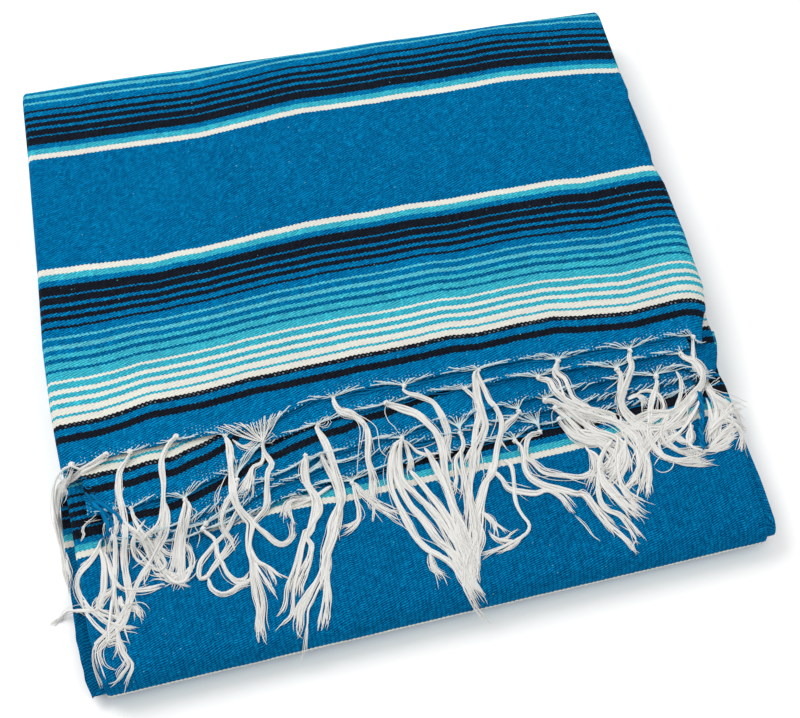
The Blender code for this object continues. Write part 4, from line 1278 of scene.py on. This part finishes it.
# Each tassel: how many yarns it has, then the points of the picture that it lies along, from its knot.
# Lower ends are laid first, so that the upper ones lie over them.
KNOTS = {
    5: ((352, 483), (515, 441), (559, 419), (203, 529)),
    4: ((321, 455), (540, 432), (555, 408), (206, 524)),
    3: ((305.5, 455.5), (402, 439), (460, 433), (519, 412), (545, 401), (656, 377), (112, 530), (150, 535)),
    2: ((113.5, 511), (131, 508), (185, 500), (318, 424), (386, 403), (465, 389), (538.6, 378), (617, 370), (681, 355), (237, 480)),
    1: ((71.6, 464.7), (106, 455), (130, 452), (176, 437), (225, 436), (263, 441), (333, 397), (404, 386), (478, 370), (558, 361), (630, 351), (693, 337)),
}
ROUTES = {
    5: (
        (9, ((352, 483), (355, 484), (361, 492), (371, 500), (381, 508), (391, 513), (403, 519))),
        (7, ((352, 483), (353, 485), (356, 498), (359, 518), (352, 527), (343, 531))),
        (11, ((515, 441), (521, 447), (524, 457), (525, 468), (531, 478), (542, 485), (552, 488), (567, 491), (577, 494), (583, 494), (592, 503), (601, 515), (609, 525), (618, 533), (626, 540), (633, 550))),
        (8, ((559, 419), (565, 428), (574, 437), (588, 442), (603, 444), (618, 452), (624, 466))),
        (9, ((203, 529), (214, 540), (217, 554), (223, 564), (228, 575), (237, 581), (247, 579), (251, 571))),
        (9, ((130, 533), (143, 540), (152, 548), (158, 560), (166, 572), (179, 578), (193, 580))),
        (8, ((138, 536), (146, 548), (150, 562), (146, 574), (138, 584))),
        (7, ((636, 448), (639, 463), (637, 480))),
        (7, ((659, 439), (661, 451), (669, 460), (682, 462), (692, 460), (712, 457))),
        (6, ((430, 553), (432, 564), (439, 579))),
        (6, ((478, 509), (486, 515), (494, 522), (500, 533))),
    ),
    4: (
        (12, ((321, 455), (327, 469), (333, 478), (338, 492), (340, 508), (335, 523), (331, 538))),
        (8, ((331, 486), (313, 497), (292, 501), (288, 509), (292, 520))),
        (11, ((540, 432), (531, 435), (527, 442), (527, 457), (533, 462), (542, 471), (552, 474), (567, 476), (582, 477), (595, 474), (606, 482), (618, 496), (630, 508))),
        (9, ((555, 408), (560, 413), (572, 425), (582, 435), (598, 438), (612, 446), (618, 459))),
        (10, ((237, 510), (231, 523), (223, 536), (212, 548), (202, 559), (199, 569), (200, 578), (206, 576), (211, 569), (219, 557), (228, 543), (229, 539))),
        (7, ((208, 578), (212, 588), (221, 593), (231, 591), (240, 585), (250, 580))),
        (9, ((494, 471), (501, 478), (509, 488), (521, 491), (536, 493), (547, 490), (560, 496), (572, 508))),
        (6, ((504, 460), (511, 465), (514, 476), (515, 493), (517, 505), (522, 515), (529, 524), (527, 532), (517, 539), (502, 546), (485, 552))),
        (6, ((490, 534), (500, 540), (512, 541), (520, 538))),
        (10, ((598, 470), (598, 487), (601, 501), (608, 510), (621, 515), (632, 528), (639, 538))),
        (9, ((600, 462), (603, 485), (615, 499), (626, 508), (639, 517))),
        (7, ((623, 490), (637, 476), (640, 462), (637, 447))),
        (7, ((644, 453), (649, 465), (648, 480), (644, 494))),
        (8, ((690, 422), (692, 438), (687, 442), (678, 437), (673, 427))),
    ),
    3: (
        (12, ((305.5, 455.5), (303, 467), (305, 480), (312, 492), (315, 502), (313, 518), (309, 533), (306, 530), (302, 545), (299, 561), (294, 576), (291, 589), (290, 604), (287, 614), (279, 620))),
        (9, ((305.5, 455.5), (308, 482), (317, 497), (320, 511), (313, 523), (308, 537), (313, 545), (311, 561), (305, 575), (300, 585), (298, 594))),
        (12, ((402, 439), (395, 446), (391, 462), (390, 477), (393, 492), (402, 512), (409, 525), (416, 537), (426, 548), (439, 556), (451, 565), (460, 576), (468, 586), (473, 595), (474, 608), (475, 619))),
        (10, ((402, 439), (400, 452), (400, 467), (404, 482), (416, 494), (428, 505), (439, 517), (448, 531), (455, 544), (464, 554), (469, 563))),
        (5, ((402, 439), (406, 445), (410, 457), (411, 467), (408, 478))),
        (5, ((402, 439), (409, 445), (417, 452), (428, 455), (439, 454))),
        (7, ((460, 433), (463, 443), (461, 452), (456, 460), (457, 477), (452, 492))),
        (7, ((519, 412), (515, 418), (506, 425), (500, 436), (503, 450))),
        (9, ((545, 401), (552, 401), (562, 406), (572, 415), (588, 427), (598, 432), (613, 436), (624, 446), (626, 462), (620, 474), (610, 482))),
        (10, ((656, 377), (657, 383), (655, 391), (652, 400), (650, 412), (650, 427), (646, 440), (641, 456))),
        (10, ((112, 530), (115, 540), (115, 563), (115, 587), (115, 614), (117, 626))),
        (10, ((100, 548), (103, 560), (104, 578), (103, 591), (100, 600), (99, 610), (108, 614), (117, 618))),
        (9, ((104, 552), (108, 560), (112, 573), (115, 580), (122, 587), (133, 589), (145, 588), (156, 585), (165, 581))),
        (7, ((116, 575), (114, 587), (103, 597), (94, 606))),
        (6, ((120, 596), (122, 606), (134, 607), (139, 612), (139, 621))),
        (6, ((112, 600), (108, 640), (117, 639), (121, 649), (119, 658))),
        (7, ((116, 626), (122, 650), (129, 661), (130, 667), (124, 677), (121, 683))),
        (3, ((104, 604), (91, 611), (78, 612), (68, 614), (60, 621), (47, 626))),
        (9, ((596, 442), (604, 446), (612, 452), (618, 462), (612, 474), (603, 479))),
        (8, ((590, 450), (598, 458), (602, 468), (598, 478), (592, 486))),
        (11, ((559, 404), (574, 411), (589, 417), (605, 419), (618, 425), (630, 434), (639, 448), (646, 466), (645, 480), (642, 495))),
        (11, ((572, 403), (588, 411), (605, 417), (621, 423), (637, 427), (655, 429), (672, 426), (686, 420), (697, 411))),
        (9, ((612, 440), (604, 450), (599, 464), (603, 478), (612, 490), (622, 500), (637, 511))),
        (9, ((628, 440), (620, 454), (618, 470), (622, 486), (632, 498), (647, 508))),
        (7, ((634, 396), (641, 391), (650, 391), (660, 398), (664, 408), (658, 417), (647, 421), (637, 421))),
        (9, ((648, 424), (650, 436), (656, 449), (668, 458), (686, 461), (709, 458))),
        (8, ((693, 425), (688, 437), (692, 446), (706, 450), (722, 447), (738, 434))),
        (8, ((670, 412), (664, 424), (662, 436), (670, 447), (684, 452), (702, 453))),
        (8, ((621, 416), (622, 428), (628, 440), (637, 450), (641, 462), (638, 474), (631, 486))),
        (7, ((700, 396), (697, 408), (690, 420), (680, 432), (668, 440), (654, 444))),
        (7, ((585, 446), (592, 455), (595, 466), (592, 478), (588, 489))),
        (7, ((136, 548), (143, 558), (150, 566), (160, 570), (165, 564), (158, 555), (148, 549))),
        (8, ((152, 540), (161, 549), (171, 554), (180, 547), (187, 545), (192, 556), (190, 568), (180, 575), (168, 578), (152, 575))),
        (6, ((166, 574), (174, 582), (184, 582), (190, 572), (192, 560))),
        (7, ((145, 520), (137, 532), (133, 545), (138, 557), (150, 562))),
    ),
    2: (
        (12, ((185, 500), (183, 512), (180, 527), (177, 537), (176, 552), (176, 568), (173, 581))),
        (10, ((185, 500), (190, 506), (187, 522), (183, 537), (182, 552), (182, 573), (184, 588))),
        (6, ((113.5, 511), (116, 520), (114, 534), (110, 548))),
        (6, ((131, 508), (134, 518), (141, 530), (150, 542), (159, 556))),
        (8, ((122, 520), (130, 528), (142, 538), (150, 548), (159, 556))),
        (14, ((318, 424), (317, 429), (323, 439), (328, 449), (333, 462), (336, 472), (340, 485), (342, 500), (333, 520), (331, 535), (326, 551), (325, 566), (319, 581), (311, 596), (304, 610), (303, 622), (302, 637), (301, 656))),
        (8, ((342, 500), (339, 518), (335, 537), (328, 556), (327, 576), (326, 602), (325, 614), (324, 628))),
        (13, ((386, 403), (393, 406), (407, 410), (418, 414), (427, 422), (435, 431), (441, 441), (444, 454), (445, 467), (448, 482), (452, 498), (455, 513), (460, 535), (469, 554), (469, 569), (470, 582), (477, 595), (486, 608), (491, 614))),
        (9, ((465, 389), (478, 401), (480, 415), (476, 428), (474, 444), (473, 464), (470, 487), (469, 510), (467, 528), (471, 545))),
        (12, ((538.6, 378), (549, 381), (554, 389), (560, 396), (570, 403), (582, 408), (598, 411), (613, 415), (615, 422), (631, 432), (641, 440), (644, 451), (640, 468))),
        (10, ((617, 370), (621, 375), (621, 386), (621, 400), (627, 412), (636, 420), (644, 432))),
        (13, ((681, 355), (685, 359), (694, 361), (701, 368), (703, 377), (700, 387), (692, 395), (684, 404), (675, 411), (666, 414), (654, 414), (645, 415), (634, 422), (624, 434))),
        (12, ((697, 392), (690, 402), (680, 414), (669, 424), (659, 434), (651, 444), (645, 453), (643, 463), (639, 473), (634, 486))),
        (6, ((676, 371), (681, 381), (681, 393), (678, 407), (672, 418))),
        (8, ((618, 437), (615, 453), (606, 468), (600, 473))),
        (8, ((625, 440), (625, 455), (620, 465), (613, 471))),
        (9, ((237, 480), (233, 492), (226, 506), (222, 522), (229, 536), (236, 548))),
        (9, ((424, 448), (434, 464), (444, 482), (451, 500), (459, 520), (466, 540), (472, 560))),
        (9, ((436, 462), (444, 484), (452, 505), (462, 524), (470, 545), (476, 566))),
        (9, ((410, 470), (424, 487), (438, 503), (450, 520), (458, 536), (466, 552), (473, 570))),
        (9, ((492, 462), (487, 482), (482, 503), (480, 525), (478, 545), (477, 566), (479, 584))),
        (8, ((460, 448), (463, 468), (468, 490), (472, 512), (474, 535), (476, 560), (473, 582))),
    ),
    1: (
        (3, ((71.6, 464.7), (69, 474), (64, 486), (66, 498))),
        (13, ((130, 452), (127, 461), (121, 469), (118, 478), (119, 491), (122, 506), (124, 522), (125, 537), (124, 552), (125, 568), (128, 587), (129, 600), (125, 614), (121, 622), (115, 630), (106, 638), (98, 646), (96, 655), (98, 664), (102, 672), (105, 678))),
        (12, ((176, 437), (171, 442), (166, 450), (162, 461), (162, 473), (164, 487), (165, 501), (164, 517), (161, 530), (155, 544), (150, 556))),
        (9, ((164, 500), (168, 514), (168, 530), (160, 547), (147, 566), (140, 578), (133, 596), (128, 606), (122, 620), (124, 640), (128, 655))),
        (14, ((225, 436), (230, 446), (231, 462), (232, 477), (233, 492), (237, 505), (246, 518), (251, 524), (249, 545), (253, 561), (255, 576), (259, 591), (262, 607), (262, 622), (264, 639))),
        (6, ((250, 548), (258, 561), (267, 566), (274, 579), (280, 585))),
        (5, ((254, 562), (262, 575), (269, 586), (274, 595))),
        (9, ((263, 441), (263, 446), (265, 453), (270, 460), (272, 465), (268, 472), (267, 487), (266, 505), (258, 518), (255, 523), (265, 533), (274, 542), (282, 545), (290, 541), (294, 533), (293, 520))),
        (8, ((263, 446), (262, 462), (253, 467), (250, 477), (246, 492), (244, 502))),
        (3, ((232, 440), (243, 447), (258, 446))),
        (9, ((333, 397), (334, 403), (339, 410), (351, 414), (361, 421), (367, 430), (368, 441), (368, 457), (370, 467), (372, 477), (373, 492), (373, 513))),
        (9, ((404, 386), (403, 390), (409, 394), (422, 398), (433, 402), (439, 411), (444, 423), (448, 435), (446, 448), (450, 466))),
        (13, ((478, 370), (474, 376), (476, 388), (479, 401), (483, 416), (485, 427), (480, 440), (475, 452), (472, 470))),
        (11, ((478, 370), (478, 376), (484, 389), (489, 401), (496, 409), (502, 420), (501, 432), (498, 442), (496, 452), (494, 471), (485, 483), (480, 500), (474, 520), (478, 537), (473, 550), (468, 567), (470, 582), (474, 591), (483, 610))),
        (9, ((558, 361), (556, 370), (559, 375), (565, 379), (569, 389), (573, 398), (580, 403), (592, 412), (600, 426))),
        (11, ((630, 351), (630, 359), (632, 366), (629, 376), (624, 389), (621, 400), (623, 410), (630, 419), (636, 424), (643, 428), (650, 440), (652, 456))),
        (3, ((693, 337), (693, 345), (693, 353), (694, 362), (695, 371), (695, 380))),
        (7, ((628, 399), (637, 395), (644, 400), (647, 408))),
        (10, ((708, 382), (712, 391), (717, 402), (715, 417), (712, 430), (714, 444))),
        (6, ((716, 408), (722, 411), (731, 410), (739, 411))),
        (6, ((712, 418), (716, 422), (728, 418), (736, 421), (743, 430))),
        (6, ((722, 418), (732, 423), (739, 430), (743, 440), (742, 449))),
        (5, ((708, 446), (712, 445), (728, 434), (738, 430))),
        (8, ((705, 384), (712, 392), (720, 399), (730, 405), (740, 411))),
        (8, ((706, 388), (715, 397), (726, 406), (735, 414), (741, 424), (743, 436), (742, 446))),
        (8, ((708, 392), (719, 401), (730, 410), (738, 420), (742, 432))),
        (8, ((706, 390), (713, 400), (717, 412), (715, 426), (711, 440))),
        (8, ((710, 448), (718, 438), (727, 430), (736, 426), (741, 427))),
        (7, ((706, 398), (710, 410), (711, 424), (708, 438))),
        (7, ((707, 452), (716, 446), (727, 438), (738, 433))),
        (7, ((708, 436), (715, 428), (724, 420), (733, 416))),
        (7, ((711, 430), (719, 420), (727, 412), (735, 408))),
    ),
}
# Each blue strand: its tone, how many strands, and the points it lies along. The three at the gathered knot get the
# darkest tones, painted shade where they bunch.
BLUE_ROUTES = (
    (0.15, 1, ((85, 492), (89, 497), (93, 502), (98, 508))),
    (0.35, 1, ((90, 494), (95, 499), (99, 504), (104, 509))),
    (0.05, 1, ((86, 500), (92, 502), (98, 507), (104, 513))),
    (0.25, 2, ((97, 506), (103, 511), (109, 517), (113, 523), (112, 530))),
    (0.75, 2, ((92, 502), (97, 508), (102, 514), (106, 521), (108, 528), (106, 535), (101, 541))),
    (0.60, 2, ((94, 501), (104, 505), (112, 511), (118, 517), (122, 524), (122, 531))),
)
BLUE_TIPS = (
    (3, ((707, 369), (709, 374), (710, 379), (708, 385))),
    (2, ((711, 370), (711, 375), (709, 381))),
)
CORD = ((699, 392), (700, 398), (701, 407), (702, 417), (701, 427), (701, 440), (704, 450))
CURLS = (((84, 480), 3.2), ((88, 486), 3.6), ((81, 488), 2.8), ((92, 492), 3.0), ((86, 496), 2.6), ((95, 500), 3.0), ((99, 509), 2.6))
# Single pale threads that show on their own, and the tier each lies on.
THREADS = {
    1: (
        ((98, 511), (91, 516), (86, 521), (82, 529), (84, 534), (81, 541)),
        ((100, 516), (94, 520), (88, 522), (84, 521)),
        ((64, 481), (60, 477), (62, 472), (68, 471), (72, 475), (73, 481)),
        ((120, 512), (108, 519), (104, 530), (106, 545), (103, 562), (101, 578)),
        ((124, 486), (118, 500), (120, 516), (114, 533), (110, 549), (114, 566)),
        ((228, 470), (222, 484), (218, 500), (220, 516), (227, 528)),
        ((262, 436), (272, 432), (276, 438), (270, 444), (263, 441)),
    ),
    2: (
        ((386, 403), (384, 412), (388, 421), (395, 427), (399, 433)),
        ((654, 465), (658, 458), (665, 454), (671, 458), (673, 465), (668, 471), (660, 472), (655, 468)),
        ((318, 424), (325, 418), (329, 422), (325, 427), (319, 425)),
        ((190, 506), (197, 512), (194, 524), (200, 536), (196, 548)),
    ),
    3: (
        ((150, 566), (157, 574), (166, 580), (178, 582), (190, 580)),
        ((96, 596), (92, 606), (99, 618), (112, 627), (124, 628)),
        ((120, 640), (126, 650), (124, 662), (116, 672), (119, 682)),
        ((112, 640), (104, 650), (106, 664), (116, 670)),
    ),
    4: (
        ((527, 532), (518, 541), (505, 549), (494, 552), (483, 560)),
        ((506, 545), (497, 541), (492, 536), (489, 530)),
    ),
    5: (
        ((632, 548), (636, 538), (629, 530), (620, 524)),
        ((600, 541), (592, 535), (584, 524), (575, 515)),
    ),
}
# The bunch that hangs over the left side stays together to its tip.
GATHERED = (
    (7, ((100, 460), (84, 470), (72, 477), (62, 487), (58, 500), (58, 515), (60, 530), (63, 545), (66, 560), (69, 574))),
    (13, ((106, 455), (101, 460), (86, 468), (74, 474), (64, 483), (58, 493), (56, 508), (56, 522), (59, 537), (63, 552), (66, 568), (70, 588))),
)
# Finer bunches between those of the V in the middle, along its left arm.
BETWEEN = {
    3: (
        (6, ((402, 440), (397, 456), (399, 472), (408, 486), (419, 498), (430, 511), (441, 524), (450, 539), (459, 554), (467, 570))),
        (6, ((393, 470), (399, 488), (410, 505), (420, 519), (431, 533), (443, 545), (454, 556), (463, 568), (471, 582))),
        (6, ((396, 480), (404, 496), (416, 510), (427, 523), (438, 537), (449, 549), (459, 562), (468, 577), (474, 592))),
    ),
}
WHITE_FROM_BLUE = (9, ((103, 538), (101, 542), (97, 552), (89, 563), (83, 569), (79, 580), (80, 594), (87, 606), (96, 615), (106, 622), (117, 627), (128, 630), (136, 630)))

# Warps laid bare where the weft has slipped from the top layer's edge: from these points to their knot.
SPRAY = (((214, 424), (283, 406)), (263, 441))


def spray(rng, into, ends, knot_at, count=24):
    """Bare warps that fan in to a knot."""
    for k in range(count):
        share = (k + 0.5) / count
        begin = (np.array(ends[0]) * (1 - share) + np.array(ends[1]) * share) + rng.normal(0, 1.5, 2)
        begin[1] += math.sin(share * math.pi) * 6
        middle = begin * 0.5 + np.array(knot_at) * 0.5 + (rng.normal(0, 1.2), 2.0 + rng.normal(0, 1.0))
        line, s = curve_through(on_ground([begin, middle, knot_at]), 0.0018)
        z = settle(line[:, 0], line[:, 1], YARN * 0.8, 0.0, 3) + np.sin(np.clip(s / s[-1], 0, 1) * math.pi) * rng.uniform(0.0, 0.0016)
        z[0] -= 0.0006
        into.add(np.stack([line[:, 0], line[:, 1], z], 1), YARN * 0.8, rng.uniform(0.5, 1.0))


def beside(rng, pixels, off, cut):
    """A tassel's course again, wandering off to one side and cut shorter."""
    p = np.asarray(pixels, float)
    share = np.linspace(0, 1, len(p))
    swing = rng.normal(0, off, 2)
    wave = rng.uniform(0, math.tau)
    p = p + np.outer(np.clip(share * 2.2, 0, 1), swing) + np.outer(np.sin(share * 5 + wave) * np.clip(share * 3, 0, 1), rng.normal(0, off * 0.5, 2))
    keep = max(3, int(round(len(p) * cut)))
    return p[:keep]


def wisp(rng, into, pixels):
    """A single yarn that has come away from its tassel and curls."""
    p = np.asarray(pixels, float)
    first = rng.integers(0, max(1, len(p) // 2))
    last = min(len(p), first + rng.integers(3, 8))
    p = p[first:last]
    if len(p) < 3:
        return
    share = np.linspace(0, 1, len(p))
    way = rng.normal(0, 1, 2)
    way /= np.linalg.norm(way)
    p = p + np.outer(share**1.3, way) * rng.uniform(5, 20) + np.stack([np.sin(share * rng.uniform(3, 8) + rng.uniform(0, 6)), np.cos(share * rng.uniform(3, 8))], 1) * rng.uniform(1, 3.5) * share[:, None]
    p[:, 0] = np.minimum(p[:, 0], 746 + 0.15 * (p[:, 0] - 746))
    line, s = curve_through(on_ground(p), 0.0018)
    if len(line) < 5:
        return
    z = settle(line[:, 0], line[:, 1], YARN, 0.0, 5) + np.sin(np.clip(s / s[-1], 0, 1) * math.pi) * rng.uniform(0, 0.0030)
    radius = YARN * rng.uniform(0.55, 0.8) * np.ones(len(line))
    radius[-2:] *= (0.8, 0.5)
    into.add(np.stack([line[:, 0], line[:, 1], z], 1), radius, rng.uniform(0.6, 1.0))


fringes = []
for number in (5, 4, 3, 2, 1):
    rng = np.random.default_rng(700 + number)
    cotton = Yarns()
    left, right = END_SIDES.get(number, (0.187, 0.186))
    for _ in range(4 if number > 1 else 7):
        begin = rng.uniform(-left + 0.004, right - 0.10)
        loose_weft(rng, blue, number, begin, begin + rng.uniform(0.04, 0.10), off=rng.uniform(-0.0002, 0.0024))
    centres = on_ground(KNOTS[number]) if len(KNOTS[number]) < 2 else np.concatenate([on_ground([k]) for k in KNOTS[number]])
    edge_warps(rng, cotton, number, left - 0.003, right - 0.003, centres)
    for pixel in KNOTS[number]:
        knot(rng, cotton, pixel)
    if number == 1:
        spray(rng, cotton, *SPRAY)
        for tone, yarns, pixels in BLUE_ROUTES:
            tassel(rng, blue, pixels, yarns, spread=0.85, fray=0.25, start=0.8, strands=yarns, radius=0.00080, tone=tone)
        for yarns, pixels in GATHERED:
            tassel(rng, cotton, pixels, yarns, spread=0.85, fray=0.35, start=0.7, part=0.2)
        yarns, pixels = WHITE_FROM_BLUE
        tassel(rng, cotton, pixels, yarns)
    between = np.random.default_rng(900 + number)
    for yarns, pixels in BETWEEN.get(number, ()):
        tassel(between, cotton, pixels, yarns, fray=0.7)
    for yarns, pixels in ROUTES[number]:
        if yarns >= 8 and pixels[0][0] > 300 and rng.random() < 0.6:
            tassel(rng, cotton, beside(rng, pixels, 3.5, rng.uniform(0.6, 1.0)), yarns, strands=2)
        tassel(rng, cotton, pixels, yarns if pixels[0][0] > 250 or yarns < 7 else yarns - 1)
    for pixels in THREADS[number]:
        tassel(rng, cotton, pixels, 1, fray=0.0, strands=1, radius=YARN * 0.85)
    if number == 1:
        cord(rng, blue, CORD)
        for yarns, pixels in BLUE_TIPS:
            tassel(rng, blue, pixels, yarns, spread=1.2, fray=0.5, start=0.9, strands=yarns, radius=0.00056)
        for pixel, size in CURLS:
            curl(rng, blue, pixel, size)
    for _ in range(22):
        yarns, pixels = ROUTES[number][rng.integers(len(ROUTES[number]))]
        if len(pixels) >= 5:
            wisp(rng, cotton, pixels)
    fringes.append(cotton.build(f"fringe_yarns_{number}", COTTON))
blue_yarns = blue.build("loose_weft_yarns", WEFT)

# ---------------------------------------------------------------- what each piece stands for
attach(top, "root")
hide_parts("top_sheet")
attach(lower, "root")
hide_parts("lower_sheet")
for k, piece in ends.items():
    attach(piece, "root")
    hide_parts(f"end_layer_{k}")
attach(strip, "root")
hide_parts("side_selvedge")
for piece in leaves:
    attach(piece, "root")
    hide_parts("hidden_layers")

for piece in (*fringes, blue_yarns):
    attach(piece, "root")
    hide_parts("fringe_left", "fringe_middle", "fringe_right")


# ---------------------------------------------------------------- floor, light and camera
def make_floor():
    size = 30.0
    points = [(-size, -size, -0.0002), (size, -size, -0.0002), (size, size, -0.0002), (-size, size, -0.0002)]
    floor = quad_mesh("floor", points, [(0, 1, 2, 3)], materials=(floor_material(),))
    return floor


def area_light(name, place_at, aim, size, power, colour=(1, 1, 1)):
    data = bpy.data.lights.new(name, "AREA")
    data.shape, data.size = "DISK", size
    data.energy, data.color = power, colour
    lamp = bpy.data.objects.new(name, data)
    lamp.location = place_at
    lamp.rotation_euler = (Vector(aim) - Vector(place_at)).to_track_quat("-Z", "Y").to_euler()
    bpy.context.scene.collection.objects.link(lamp)
    return lamp


make_floor()
world = bpy.data.worlds.new("studio")
world.use_nodes = True
world.node_tree.nodes["Background"].inputs[0].default_value = (1.0, 1.0, 1.0, 1)
world.node_tree.nodes["Background"].inputs[1].default_value = 0.78
bpy.context.scene.world = world
area_light("key", (-0.75, 0.85, 1.25), (0.0, 0.0, 0.0), 1.3, 20.0)
area_light("fill", (1.1, -0.7, 1.0), (0.0, 0.0, 0.0), 1.1, 5.0)

lens = bpy.data.cameras.new("camera")
lens.sensor_width = 36.0
lens.lens = FOCAL_PX / 800 * 36
lens.clip_start, lens.clip_end = 0.05, 20
camera = bpy.data.objects.new("camera", lens)
camera.location = EYE
camera.rotation_euler = (-Vector(BACK)).to_track_quat("-Z", "Y").to_euler()
bpy.context.scene.collection.objects.link(camera)
bpy.context.scene.camera = camera
bpy.context.scene.view_settings.view_transform = "Standard"
bpy.context.scene.view_settings.look = "None"
